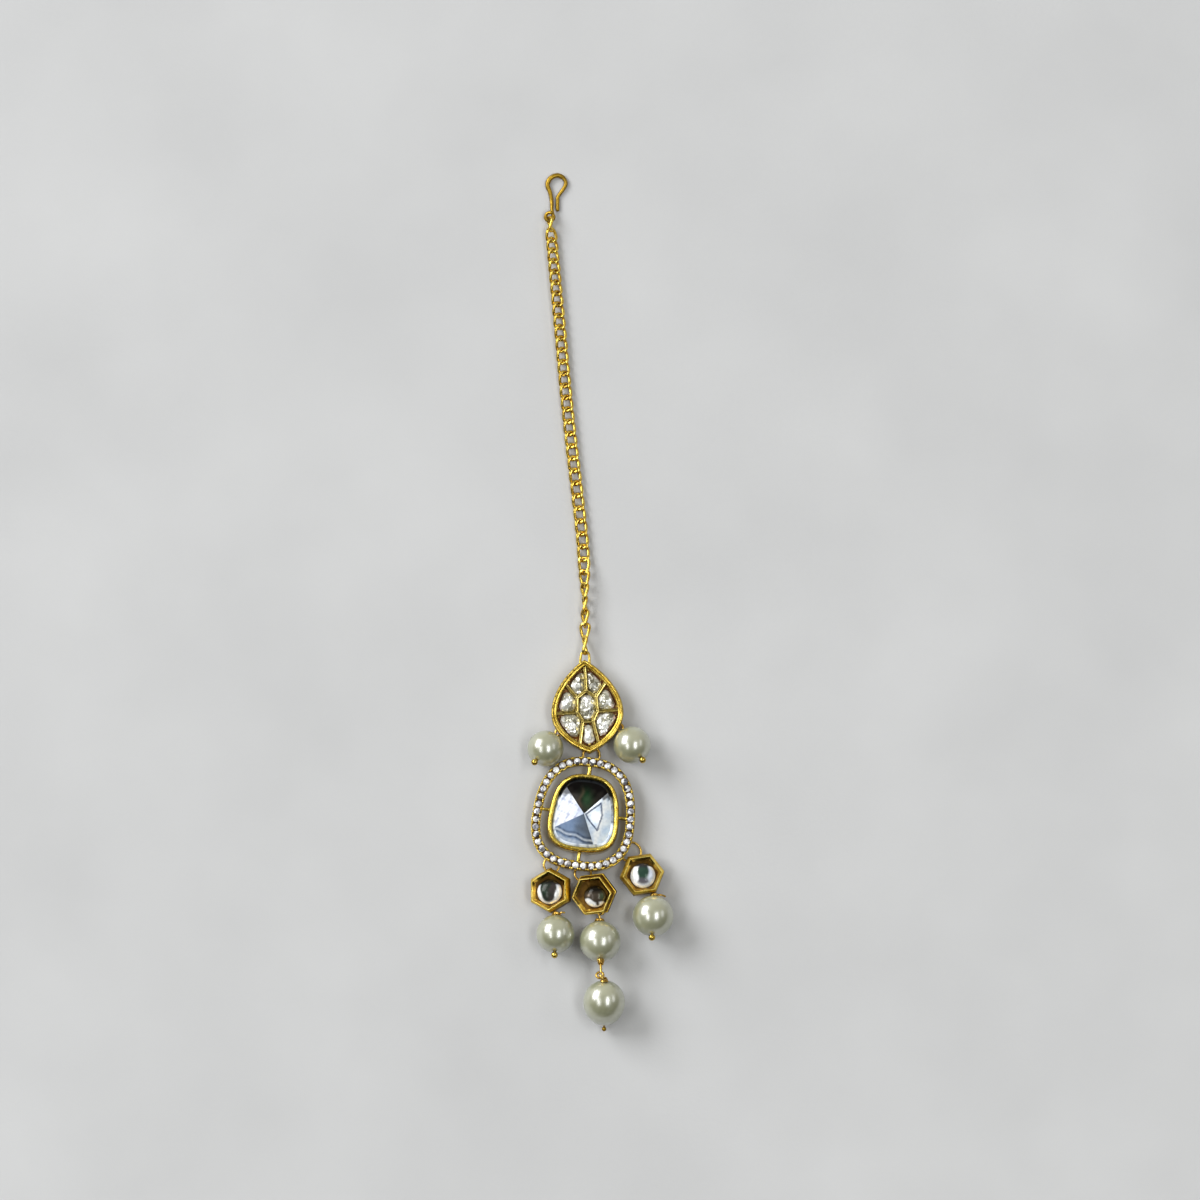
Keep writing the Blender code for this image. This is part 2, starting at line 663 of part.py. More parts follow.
def main():
    up_left = Pearl((-9.95, -26.99, 3.25), 3.25, (-0.584, -0.812), 31.0)
    up_right = Pearl((5.65, -26.36, 3.35), 3.35, (0.536, -0.844), 29.0)
    low_left = Pearl((-8.14, -60.64, 3.45), 3.45, (-0.045, -1.0), 16.0)
    low_middle = Pearl((-0.11, -62.0, 3.7), 3.7, (0.03, -1.0), 22.0)
    low_right = Pearl((9.4, -57.41, 3.7), 3.7, (-0.053, -1.0), 20.0)
    drop = Pearl((0.6, -73.25, 3.9), 3.75, (0.0, -1.0), -30.0, length=8.3)

    left_cup = HexCup("left", (-8.87, -52.59, 1.45), 90.0, 0.0, -11.0, (3.4, 0.2), (-1.96, 0.1), 4.5)
    middle_cup = HexCup("middle", (-1.05, -53.2, 1.85), 7.0, 8.0, -9.0, (-1.9, 2.6), (0.67, -2.5), 3.9)
    right_cup = HexCup("right", (7.4, -49.75, 1.5), 8.0, -2.0, 0.0, (-0.4, 3.0), (1.3, -1.5), 4.5)

    make_hook_and_chain()

    leaf_link_eye = Vector((-1.71, -26.36, LEAF_UNDERSIDE - EYELET_DROP))
    left_pin_eye = Vector((-7.1, -23.2, LEAF_UNDERSIDE - EYELET_DROP))
    right_pin_eye = Vector((3.0, -22.3, LEAF_UNDERSIDE - EYELET_DROP))
    frame_link_eye = Vector((-1.64, -29.31, HALO_UNDERSIDE - EYELET_DROP))
    make_leaf(
        [
            eyelet("leaf_bottom_eye", leaf_link_eye, (frame_link_eye - leaf_link_eye).xy),
            eyelet("leaf_left_eye", left_pin_eye, (up_left.entry - left_pin_eye).xy),
            eyelet("leaf_right_eye", right_pin_eye, (up_right.entry - right_pin_eye).xy),
        ]
    )

    frame_eyes = {
        "left": Vector((-8.69, -46.38, HALO_UNDERSIDE - EYELET_DROP)),
        "middle": Vector((-3.29, -47.89, HALO_UNDERSIDE - EYELET_DROP)),
        "right": Vector((4.27, -44.11, HALO_UNDERSIDE - EYELET_DROP)),
    }
    cups = {"left": left_cup, "middle": middle_cup, "right": right_cup}
    eyelets = [eyelet("frame_top_eye", frame_link_eye, (frame_link_eye - leaf_link_eye).xy)]
    for side, place in frame_eyes.items():
        eyelets.append(eyelet(f"frame_{side}_eye", place, (cups[side].top - place).xy))
    make_centre(eyelets)
    jump_ring("centre_link", leaf_link_eye, frame_link_eye)
    for side, place in frame_eyes.items():
        jump_ring(f"hex_ring_{side}", place, cups[side].top)

    left_cup.make(frame_eyes["left"], low_left.entry)
    middle_cup.make(frame_eyes["middle"], low_middle.entry)
    right_cup.make(frame_eyes["right"], low_right.entry)

    up_left.make("upper_pearl_left")
    up_right.make("upper_pearl_right")
    low_left.make("lower_pearl_left")
    low_middle.make("lower_pearl_middle")
    low_right.make("lower_pearl_right")
    drop.make("drop_pearl", egg=0.05)

    ball_pin("upper_pin_left", left_pin_eye, up_left)
    ball_pin("upper_pin_right", right_pin_eye, up_right)
    ball_pin("lower_pin_left", left_cup.bottom, low_left)
    ball_pin("lower_pin_right", right_cup.bottom, low_right)

    drop_eye = drop.along(DROP_EYE) + Vector((DROP_LEAN, 0.0, 0.0))
    hang = (drop.entry - drop_eye).normalized()
    link = hang.xy.normalized() * low_middle.axis.xy.length
    lower_eye = drop_eye - Vector((*link, low_middle.axis.z)) * PIN_EYE_RADIUS
    upper = under_pearl(middle_cup.bottom, low_middle)
    lower = pin_eye(lower_eye, low_middle.exit - lower_eye, UP.cross(-low_middle.axis))
    points = upper + [low_middle.entry, low_middle.exit] + lower[::-1]
    wire("lower_pin_middle", points, [PIN_WIRE] * len(points), GOLD)
    hanging = pin_eye(drop_eye, hang, hang.cross(UP.cross(hang)))
    points = hanging + [drop.entry, drop.along(DROP_PIN_END)]
    wire("drop_pin", points, [PIN_WIRE] * len(points), GOLD)


main()
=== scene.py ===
"""Maang tikka, its looks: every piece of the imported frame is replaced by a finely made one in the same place.

Shapes are worked out in millimetres, in the frame's own axes, and turned into metres when a mesh is made.
"""

import math

import bmesh
import bpy
import numpy as np
from mathutils import Euler, Matrix, Vector


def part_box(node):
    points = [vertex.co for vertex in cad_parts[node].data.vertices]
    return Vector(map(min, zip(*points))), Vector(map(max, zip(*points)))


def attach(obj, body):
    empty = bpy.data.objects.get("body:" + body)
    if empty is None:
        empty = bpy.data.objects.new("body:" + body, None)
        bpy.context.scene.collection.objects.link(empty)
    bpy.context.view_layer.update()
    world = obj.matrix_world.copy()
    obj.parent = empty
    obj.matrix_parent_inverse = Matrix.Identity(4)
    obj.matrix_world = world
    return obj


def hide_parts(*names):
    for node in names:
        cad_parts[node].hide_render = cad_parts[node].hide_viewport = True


MM = 0.001
UP = np.array((0.0, 0.0, 1.0))

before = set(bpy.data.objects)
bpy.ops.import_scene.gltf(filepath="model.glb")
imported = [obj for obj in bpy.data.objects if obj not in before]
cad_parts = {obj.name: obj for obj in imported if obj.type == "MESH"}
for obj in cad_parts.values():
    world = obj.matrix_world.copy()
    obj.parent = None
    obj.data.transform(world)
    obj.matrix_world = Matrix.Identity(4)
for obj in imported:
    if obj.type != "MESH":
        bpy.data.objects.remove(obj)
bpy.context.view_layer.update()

# The design's own dimensions, in millimetres: those of the CAD, but for the height of the hook's eye, the
# ends of the hook and chain, the outer ends of two cell walls, two of the stone's ridges, and the lips and
# leans of the hexagonal cups

HOOK_WIRE = 0.32
HOOK_EYE = (-9.22, 70.07)
HOOK_EYE_RADIUS = 0.75
HOOK_EYE_Z = 0.95
HOOK_BEND = (
    (-8.8, 71.5), (-8.84, 72.9), (-9.14, 74.6), (-9.61, 76.0), (-9.09, 77.2), (-7.83, 77.74),
    (-6.75, 77.27), (-6.32, 76.3), (-6.66, 75.4), (-7.7, 73.9), (-7.77, 73.2), (-7.78, 71.45),
)
CHAIN_ROUTE = (
    (-9.22, 69.95), (-8.57, 62.84), (-7.29, 49.11), (-6.35, 38.66), (-5.18, 27.76),
    (-4.1, 18.67), (-3.15, 9.4), (-2.85, 0.0), (-2.85, -9.55),
)

LEAF_CENTRE = np.array((-2.47, -19.55, 0.0))
LEAF_TURN = 3.4
LEAF_HALF_WIDTH = 6.5
LEAF_TOP = 8.7
LEAF_BOTTOM = -8.3
LEAF_WIDEST = -0.97
LEAF_UNDERSIDE = 1.4
LEAF_FLOOR = 2.3
LEAF_RIM_TOP = 3.6
CELL_CORNERS = ((0.0, 3.1), (1.7, 1.85), (1.85, -0.7), (0.92, -2.45))
CELL_WALL_ENDS = ((0.0, 7.4), (3.75, 4.6), (5.6, -0.75), (1.72, -6.75))
LEAF_LOOP = (-2.9, -10.1, 1.9)

FRAME_CENTRE = np.array((-3.0, -38.73, 0.0))
FRAME_TURN = -7.0
HALO_OUTER = (9.2, 10.3, 2.5, 0.08)
HALO_INNER = (7.55, 8.6, 2.6, 0.08)
HALO_UNDERSIDE = 1.4
HALO_TOP = 3.0
CUP_OUTLINE = (6.3, 7.08, 2.8, 0.11)
CUP_TOP = 4.1
SPOKE_Z = 2.5
STONE_APEX = (0.0, -0.3, 5.0)
STONE_RIDGE_ENDS = ((-3.3, 3.75), (3.6, 3.85), (2.1, -5.05), (-4.3, -2.75))

HEX_ACROSS_FLATS = 7.1
HEX_HEIGHT = 2.6
HEX_WALL_TOP = 1.3
# Base point, turn, tilt, roll, upper eye, lower eye and the dome's width
HEX_CUPS = {
    "left": ((-8.87, -52.59, 1.45), 90.0, 0.0, -11.0, (3.4, 0.2), (-1.96, 0.1), 4.5),
    "middle": ((-1.05, -53.2, 1.85), 7.0, 8.0, -9.0, (-1.9, 2.6), (0.67, -2.5), 3.9),
    "right": ((7.4, -49.75, 1.5), 8.0, -2.0, 0.0, (-0.4, 3.0), (1.3, -1.5), 4.5),
}
HEX_LIP_WIDTH = 6.05  # across the flats of the lip's ridge
# How far each cup's lip and its stone lie off the middle of its base, in the frame's X and Y
HEX_LEANS = {
    "left": ((-0.05, -0.2), (0.0, -0.34)),
    "middle": ((-0.22, -0.2), (0.3, -0.4)),
    "right": ((0.1, -0.2), (0.16, -0.34)),
}
FRAME_EYES = {"left": (-8.69, -46.38), "middle": (-3.29, -47.89), "right": (4.27, -44.11)}
LINK_EYES = ((-1.71, -26.36), (-1.64, -29.31))
UPPER_PIN_EYES = {"left": (-7.1, -23.2), "right": (3.0, -22.3)}
EYE_Z = 0.9
EYELET_WIRE = 0.2
EYELET_RADIUS = 0.7
EYELET_DROP = 0.5
# Each pearl's bore: its direction in plan and its tilt upwards
PEARL_AXES = {
    "upper_pearl_left": ((-0.584, -0.812), 31.0),
    "upper_pearl_right": ((0.536, -0.844), 29.0),
    "lower_pearl_left": ((-0.045, -1.0), 16.0),
    "lower_pearl_middle": ((0.03, -1.0), 22.0),
    "lower_pearl_right": ((-0.053, -1.0), 20.0),
    "drop_pearl": ((0.0, -1.0), -30.0),
}
DROP_LENGTH = 8.3
DROP_RADIUS = 3.75
DROP_EYE = -4.95
DROP_PIN_END = 5.3
DROP_LEAN = -0.45
RING_WIRE = 0.22
PIN_WIRE = 0.22
PIN_BALL = 0.6


# Finer dimensions that only the looks have: lengths in millimetres, angles in degrees, and shares

HOOK_TOP_SHARE = 0.55  # how far along the wire its thickest place is
HOOK_SWELL = 0.38
HOOK_SWELL_SHARE = 0.17
HOOK_EYE_START, HOOK_EYE_END = 70, 411
HOOK_EYE_RISE = 0.5
HOOK_EYE_RISE_SHARE = 0.1
HOOK_FALL_START, HOOK_FALL_SHARE = 0.24, 0.12  # the foot, where the wire comes down to the floor
HOOK_SPACING = 0.22
LINK_WIRE = 0.29
LINK_HALF_WIDTH = 0.88
LINK_TWIST = 0.36
LINK_FLAT = 0.53
LINK_PLAY = 0.03
LINK_PITCHES = (1.87, 2.15, 2.5)
PITCH_SHARES = (0.0, 0.3, 1.0)
LINK_SQUARENESS = 2.5
LINK_STANDING = 0.93  # share of its half width at which a link that stands on edge rests
LINK_LOWEST = 0.1
END_NARROWING = 0.74  # the first and last links are narrower
END_HELD, END_FALL = 4, 0.45  # links held up by the leaf's loop, and how much lower each lies
FIRST_ROLL = 78.0
ROLL_SHARES = (0.0, 0.25, 0.5, 0.8)
ROLLS = (-28.0, -20.0, -6.0, 4.0)
END_ROLLS = (90.0, 44.0, 68.0, 90.0, 66.0, 42.0, 20.0)
ROPE_PITCH = 0.29
ROPE_WIRE, ROPE_DEPTH, ROPE_INSET = 0.33, 0.14, 0.31
ROPE_PLAIN = (-78, -8)  # between these angles the leaf's edge has no rope
WALL_BEAD = 0.31
WALL_WIDTH = 0.6
WALL_TOP = 3.42
STONE_MARGIN = 0.4
LAST_STONE_MARGIN = 0.56  # the narrow stone at the foot
STONE_EASE = 52  # how many times a leaf stone's outline is smoothed
# Rows of a cut stone: height and share of the outline for its table and its kites, and the girdle's height
LEAF_STONE_ROWS = ((1.0, 0.48), (0.82, 0.76), 0.5)
HALO_STONE_ROWS = ((0.3, 0.55), (0.21, 0.8), 0.02)
HALO_STONES = 42
HALO_STONE = 0.6
PRONG_OFFSET = 0.63
PRONG_RADIUS = 0.23
PRONG_SLIP = 0.17  # half the gap between the two prongs of a pair
STONE_RIDGE_Z = 3.95
STONE_GIRDLE_Z = 3.3
STONE_INSET = 0.97
STONE_FACET_SHARE = 0.92
# The corners of the smaller facet painted, as a reflection, in dark outline on the right facet
INNER_FACET = ((0.35, -0.05), (2.83, 2.36), (3.27, 0.24), (2.73, -2.59), (1.01, -0.98))  # from the apex
FACET_ROWS = 30
DOME_BASE, DOME_RISE = 1.7, 1.3
DOME_FOOT, DOME_EDGE = 1.45, 0.2  # the height of a dome's foot, and how much narrower it is
# A cup's seat, from its well inwards: how far beyond the dome's edge, and the height
SEAT_RINGS = ((0.08, 1.68), (-0.04, 1.5), (-0.12, 1.3), (-0.3, 1.28))
CUP_LEAN_HEIGHT = 0.9  # above its wall, where a cup's mouth has its whole lean
LOOP_WIRE, LOOP_FLARE = 0.24, 0.2
SPOKE_SIDES, SPOKE_ENDS = (6.1, 7.75), (6.9, 8.8)  # from and to, off the frame's centre
SPOKE_RADII = ((1, 0.31, 0.4), (-1, 0.29, 0.33))  # side, and the radii of its spokes across and along
SPOKE_FLARE = 0.14
RING_OPENING, RING_RISE = 0.06, 0.04
PEARL_BORE = 0.34
WRAP_WIRE, WRAP_PITCH = 0.17, 0.26
WRAP_TAILS = {"left": (0.9, 0.1, 0.3), "right": (1.4, -0.3, 0.4)}
PIN_BALL_STANDOFF = 0.65
PIN_EYE_RADIUS = 0.63
PIN_END = 0.55  # how far a pin runs into its ball
DROP_GRAIN = 0.42
KNEE = 0.35  # how far before a pearl its pin turns up into it

# The metals: bright and deep colour, roughness, size and depth of the hammered wave, and how metallic
GOLDS = {
    "gold": ((0.66, 0.48, 0.10), (0.42, 0.28, 0.04), 0.22, 0.9, 0.03),
    "bright_gold": ((0.74, 0.56, 0.12), (0.50, 0.34, 0.045), 0.24, 0.7, 0.012),
    "chain_gold": ((0.84, 0.62, 0.12), (0.58, 0.36, 0.05), 0.2, 0.6, 0.01),
    "bezel_gold": ((0.88, 0.67, 0.14), (0.66, 0.45, 0.06), 0.24, 0.7, 0.012),
    "wall_gold": ((0.60, 0.49, 0.17), (0.38, 0.29, 0.08), 0.3, 0.5, 0.02),
    "matte_gold": ((0.95, 0.66, 0.09), (0.66, 0.43, 0.035), 0.36, 0.35, 0.025),
    # Painted shade: a darker copy of the gold for the cups' side walls and grooves
    "shaded_side_gold": ((0.42, 0.26, 0.04), (0.15, 0.075, 0.015), 0.36, 0.5, 0.06),
    "well_gold": ((0.82, 0.54, 0.09), (0.46, 0.26, 0.03), 0.2, 0.5, 0.03),
    "wire_gold": ((0.72, 0.49, 0.12), (0.46, 0.27, 0.05), 0.24, 0.6, 0.005),
    # Painted highlight: a bright copy of the gold for the hex cups' thin lip
    "lit_lip_gold": ((1.0, 0.82, 0.24), (0.9, 0.66, 0.12), 0.3, 0.5, 0.01),
    "hook_gold": ((0.42, 0.26, 0.03), (0.25, 0.15, 0.02), 0.36, 0.8, 0.01),
    # Painted shade: a darker copy of the gold for the inner walls and floors under the stones
    "shaded_seat_gold": ((0.42, 0.17, 0.045), (0.22, 0.08, 0.02), 0.4, 0.4, 0.03, 0.4),
    # Painted shade: a darker copy of the gold for the halo's channel floor and the hex cups' seats
    "shaded_cup_seat": ((0.24, 0.125, 0.018), (0.10, 0.045, 0.005), 0.4, 0.4, 0.03, 0.7),
}
# Painted shade: the dark brown that the golds take in their hollows
HOLLOW_SHADE = (0.10, 0.04, 0.008)

# The set
CAMERA_ELEVATION = 82.0
CAMERA_AIM = (-0.144, 0.18, 2.0)
CAMERA_DISTANCE = 6.0
CAMERA_LENS = 1000.0
CAMERA_SENSOR = 36.0
CAMERA_CLIP = (0.1, 30.0)
FLOOR_REACH = 3.0
LIGHT_DISTANCE = 2.2
# The room's brightness by how far it lies towards the object's top, from -1 to 1
ROOM = ((-1.0, 0.05), (-0.3, 0.09), (0.2, 0.28), (0.6, 0.46), (1.0, 0.52))
ROOM_TINT = (1.03, 1.0, 0.92)
# Name, direction, width, length, power and tint
LIGHTS = (
    ("window_left", (-0.70, 0.42, 0.56), 1.0, 1.6, 46.0, (0.985, 1.0, 1.0)),
    ("strip_left", (-0.5, -0.2, 0.84), 0.44, 1.3, 9.0, (0.985, 1.0, 0.99)),
    ("strip_right", (0.34, -0.14, 0.93), 0.46, 1.5, 16.0, (0.97, 1.0, 0.99)),
    ("window_right", (0.80, 0.12, 0.58), 0.4, 1.2, 3.0, (0.97, 0.985, 1.0)),
)


# Small sums that the shapes and paints share


def unit(vector):
    return vector / np.linalg.norm(vector)


def clamp(values):
    """The values kept between 0 and 1."""
    return np.clip(values, 0.0, 1.0)


def bell(distance, width):
    """1 at no distance, falling off softly over the width."""
    return np.exp(-((distance / width) ** 2))


def circle(angle, radius=1.0):
    """A point on a circle in the plane for each angle."""
    return radius * np.stack([np.cos(angle), np.sin(angle)], axis=1)


def squarish(values, power):
    """Cosines or sines pushed out towards a cushion's corners."""
    return np.sign(values) * np.abs(values) ** (2 / power)


def run_along(points):
    """How far along a path each of its points is."""
    return np.concatenate([[0.0], np.cumsum(np.linalg.norm(np.diff(points, axis=0), axis=1))])


def respaced(points, spacing, closed=False):
    """Points evenly along a path, about the spacing apart; a closed path's last point isn't repeated."""
    run = run_along(points)
    gaps = round(run[-1] / spacing)
    wanted = np.linspace(0.0, run[-1], max(3, gaps) if closed else max(2, gaps + 1), endpoint=not closed)
    return np.stack([np.interp(wanted, run, line) for line in points.T], axis=1)


def at_eye(place):
    """A soldered eye's centre, from its place in plan."""
    return np.array((*place, EYE_Z))


def put_in_scene(name, data):
    thing = bpy.data.objects.new(name, data)
    bpy.context.scene.collection.objects.link(thing)
    return thing


def fill_ramp(node, stops):
    """Give a colour ramp its (position, colour) stops; a plain number is a grey."""
    elements = node.color_ramp.elements
    while len(elements) < len(stops):
        elements.new(0.5)
    for element, (position, colour) in zip(elements, stops):
        element.position = position
        if isinstance(colour, (int, float)):
            colour = (colour,) * 3
        element.color = (*colour, 1.0)


# Outlines in the plane, running anticlockwise


def superellipse(half_width, half_length, power, taper, count):
    """A cushion outline, narrower at its top by the taper."""
    angle = np.linspace(0, 2 * math.pi, count, endpoint=False)
    across, along = squarish(np.cos(angle), power), squarish(np.sin(angle), power)
    return np.stack([half_width * across * (1 - taper * along), half_length * along], axis=1)


def bezier(a, b, c, d, count):
    """Points of a cubic Bezier curve, without its last end."""
    t = np.linspace(0.0, 1.0, count, endpoint=False)[:, None]
    a, b, c, d = (np.array(point) for point in (a, b, c, d))
    return (1 - t) ** 3 * a + 3 * (1 - t) ** 2 * t * b + 3 * (1 - t) * t**2 * c + t**3 * d


def leaf_outline(count):
    """The pointed oval: four curves between its two tips and its widest places."""
    widest = (LEAF_HALF_WIDTH, LEAF_WIDEST)
    top, bottom = (0.0, LEAF_TOP), (0.0, LEAF_BOTTOM)
    lower = bezier(bottom, (3.81, -6.73), (LEAF_HALF_WIDTH, -3.86), widest, count)
    upper = bezier(widest, (LEAF_HALF_WIDTH, 4.03), (1.21, 8.2), top, count)
    right = np.vstack([lower, upper, [top]])
    return np.vstack([right, right[-2:0:-1] * (-1, 1)])


def hexagon(across_flats):
    angle = 2 * math.pi * np.arange(6) / 6
    return circle(angle, across_flats / 2 / math.cos(math.pi / 6))


def inset(outline, distance):
    """The outline moved inwards by the distance, square to each side."""
    sides = np.roll(outline, -1, axis=0) - outline
    sides = sides / np.linalg.norm(sides, axis=1)[:, None]
    inward = np.stack([-sides[:, 1], sides[:, 0]], axis=1)
    before = np.roll(inward, 1, axis=0)
    both = (inward + before) / (1 + (inward * before).sum(axis=1))[:, None]
    return outline + distance * both


def evenly(outline, spacing):
    """Points spaced evenly round a closed outline, about the spacing apart."""
    return respaced(np.vstack([outline, outline[:1]]), spacing, closed=True)


def raised(outline, z):
    return np.column_stack([outline, np.full(len(outline), z)])


def smooth_route(route, spacing):
    """Evenly spaced points on a smooth curve through the route's own points."""
    knots = np.array(route, float)
    ends = np.vstack([2 * knots[0] - knots[1], knots, 2 * knots[-1] - knots[-2]])
    t = np.linspace(0.0, 1.0, 24, endpoint=False)[:, None]
    dense = [
        0.5 * (2 * b + (c - a) * t + (2 * a - 5 * b + 4 * c - d) * t**2 + (3 * b - a - 3 * c + d) * t**3)
        for a, b, c, d in zip(ends, ends[1:], ends[2:], ends[3:])
    ]
    return respaced(np.vstack([*dense, knots[-1:]]), spacing)


# Shapes: a shape is its points, faces and material, whether it is smooth, and the paint of its points


class Shape:
    def __init__(self, points, faces, material, smooth=True, paint=None):
        self.points = np.asarray(points, float)
        self.faces = faces
        self.material = material
        self.smooth = smooth
        self.paint = np.ones((len(self.points), 3)) if paint is None else paint

    def moved(self, matrix):
        matrix = np.array(matrix)
        points = self.points @ matrix[:3, :3].T + matrix[:3, 3]
        return Shape(points, self.faces, self.material, self.smooth, self.paint)


def moved(shapes, matrix):
    return [shape.moved(matrix) for shape in shapes]


def sweep_frames(points, closed):
    """The two cross directions at each point of a path, carried along it without needless twist."""
    if closed:
        along = np.roll(points, -1, axis=0) - np.roll(points, 1, axis=0)
    else:
        along = np.gradient(points, axis=0)
    along /= np.linalg.norm(along, axis=1)[:, None]
    start = np.cross(along[0], UP if abs(along[0][2]) < 0.9 else (1.0, 0.0, 0.0))
    first = [unit(start)]
    for direction in along[1:]:
        side = first[-1] - direction * (first[-1] @ direction)
        first.append(unit(side))
    first = np.array(first)
    second = np.cross(along, first)
    if closed:
        last = first[-1] - along[0] * (first[-1] @ along[0])
        turn = -math.atan2(last @ second[0], last @ first[0])
        angle = turn * np.arange(len(points)) / len(points)
        cos, sin = np.cos(angle)[:, None], np.sin(angle)[:, None]
        first, second = cos * first + sin * second, cos * second - sin * first
    return first, second


def tube(points, radius, material, sides=10, closed=False, twist=None):
    """A wire along a path; twist, as (pitch, depth), cuts the ridges of a rope into it."""
    points = np.asarray(points, float)
    count = len(points)
    radius = np.broadcast_to(np.asarray(radius, float), (count,))[:, None]
    angle = np.linspace(0, 2 * math.pi, sides, endpoint=False)[None, :]
    if twist:
        pitch, depth = twist
        depth = np.broadcast_to(depth, (count,))[:, None]
        ends = np.vstack([points, points[:1]]) if closed else points
        run = run_along(ends)
        turns = round(run[-1] / pitch)
        phase = 2 * math.pi * turns * run[:count, None] / run[-1]
        radius = radius * (1 - depth + depth * np.cos(phase + angle))
    first, second = sweep_frames(points, closed)
    rings = (
        points[:, None, :]
        + (radius * np.cos(angle))[:, :, None] * first[:, None, :]
        + (radius * np.sin(angle))[:, :, None] * second[:, None, :]
    )
    faces = []
    for i in range(count if closed else count - 1):
        low, high = i * sides, (i + 1) % count * sides
        for k in range(sides):
            m = (k + 1) % sides
            faces.append((low + k, high + k, high + m, low + m))
    if not closed:
        faces.append(tuple(range(sides)))
        faces.append(tuple(range(count * sides - 1, (count - 1) * sides - 1, -1)))
    return Shape(rings.reshape(-1, 3), faces, material)


def rounded_ends(points, radius):
    """The points of a wire with rounded ends added to them, and its radius at each."""
    points = np.asarray(points, float)
    angles = np.linspace(0.0, math.pi / 2, 4)[1:]
    before, after = points[0] - points[1], points[-1] - points[-2]
    before, after = unit(before), unit(after)
    start = [points[0] + before * radius * math.sin(a) for a in angles[::-1]]
    end = [points[-1] + after * radius * math.sin(a) for a in angles]
    taper = [radius * max(math.cos(a), 0.15) for a in angles]
    radii = np.concatenate([taper[::-1], np.full(len(points), radius), taper])
    return np.vstack([start, points, end]), radii


def wire(points, radius, material, sides=12):
    """A round wire with rounded ends."""
    points, radii = rounded_ends(points, radius)
    return tube(points, radii, material, sides)


def ball(centre, radius, material, segments=10, rings=7):
    """A round grain."""
    angle = np.linspace(0, 2 * math.pi, segments, endpoint=False)
    rise = np.linspace(-math.pi / 2, math.pi / 2, rings)[1:-1]
    points = [(0.0, 0.0, -1.0)]
    for e in rise:
        points += [(math.cos(e) * math.cos(a), math.cos(e) * math.sin(a), math.sin(e)) for a in angle]
    points.append((0.0, 0.0, 1.0))
    faces = []
    last = len(points) - 1
    high = 1 + (len(rise) - 1) * segments
    for k in range(segments):
        m = (k + 1) % segments
        faces.append((0, 1 + m, 1 + k))
        for i in range(len(rise) - 1):
            low = 1 + i * segments
            faces.append((low + k, low + m, low + segments + m, low + segments + k))
        faces.append((high + k, high + m, last))
    return Shape(np.array(points) * radius + np.asarray(centre), faces, material)


def loft(rings, materials, cyclic=False):
    """A skin over rings of points: one material a band, or one for all; open ends are closed by faces."""
    count = len(rings[0])
    bands = len(rings) if cyclic else len(rings) - 1
    if isinstance(materials, str):
        materials = [materials] * bands
    points = np.vstack(rings)
    faces = {}
    for band in range(bands):
        low, high = band * count, (band + 1) % len(rings) * count
        for k in range(count):
            before = (k - 1) % count
            face = (low + before, low + k, high + k, high + before)
            faces.setdefault(materials[band], []).append(face)
    if not cyclic:
        top = (len(rings) - 1) * count
        faces.setdefault(materials[0], []).append(tuple(range(count - 1, -1, -1)))
        faces.setdefault(materials[-1], []).append(tuple(range(top, top + count)))
    return [Shape(points, made, material) for material, made in faces.items()]


def turned(profile, material, segments, cyclic=False):
    """A shape turned about Z from (radius, height) points, from the bottom up."""
    angle = np.linspace(0, 2 * math.pi, segments, endpoint=False)
    return loft([raised(circle(angle, r), z) for r, z in profile], material, cyclic=cyclic)


def dish(outline, levels, materials):
    """A loft of one outline: levels are (height, inset), up the outside and then down inside."""
    return loft([raised(inset(outline, margin), z) for z, margin in levels], materials)


def bar(start, end, profile, material):
    """A straight bar in the plane, its profile given as (offset to the left, height)."""
    start, end = np.array(start, float), np.array(end, float)
    run = unit(end - start)
    left = np.array((-run[1], run[0]))
    rings = []
    for place in (start, end):
        rings.append(np.array([(*(place + left * across), z) for across, z in profile]))
    return loft(rings, material)


def brilliant(outline, count, levels, material, bottom):
    """A cut stone: a table, a row of kites, a girdle and an underside down to the bottom's height."""
    (table_z, table), (kite_z, kite), girdle_z = levels
    step = 2 * math.pi / count
    rows = []
    for share, z, shift, points in ((table, table_z, 0.0, count), (kite, kite_z, 0.5, count)):
        rows.append([(*(outline((k + shift) * step) * share), z) for k in range(points)])
    rows.append([(*outline(k * step / 2), girdle_z) for k in range(2 * count)])
    rows.append([(*(outline(k * step / 2) * 0.7), bottom) for k in range(2 * count)])
    points = np.vstack(rows)
    kite_0, girdle_0, under_0 = count, 2 * count, 4 * count
    faces = [tuple(range(count)), tuple(range(under_0 + 2 * count - 1, under_0 - 1, -1))]
    for k in range(count):
        m = (k + 1) % count
        faces.append((k, kite_0 + k, m))
        faces.append((kite_0 + k, girdle_0 + (2 * k + 2) % (2 * count), kite_0 + m, m))
        faces.append((kite_0 + k, girdle_0 + 2 * k, girdle_0 + 2 * k + 1))
        faces.append((kite_0 + k, girdle_0 + 2 * k + 1, girdle_0 + (2 * k + 2) % (2 * count)))
    for k in range(2 * count):
        m = (k + 1) % (2 * count)
        faces.append((under_0 + k, under_0 + m, girdle_0 + m, girdle_0 + k))
    return Shape(points, faces, material, smooth=False)


def round_outline(radius):
    """A round stone's outline as a function of the angle."""

    def at(angle):
        return np.array((radius * math.cos(angle), radius * math.sin(angle)))

    return at


def turn_about_z(centre, degrees):
    return Matrix.Translation(Vector(centre)) @ Matrix.Rotation(math.radians(degrees), 4, "Z")


def aimed(centre, direction):
    """The matrix that stands +Z along a direction at a centre."""
    return Matrix.Translation(Vector(centre)) @ Vector(direction).to_track_quat("Z", "Y").to_matrix().to_4x4()


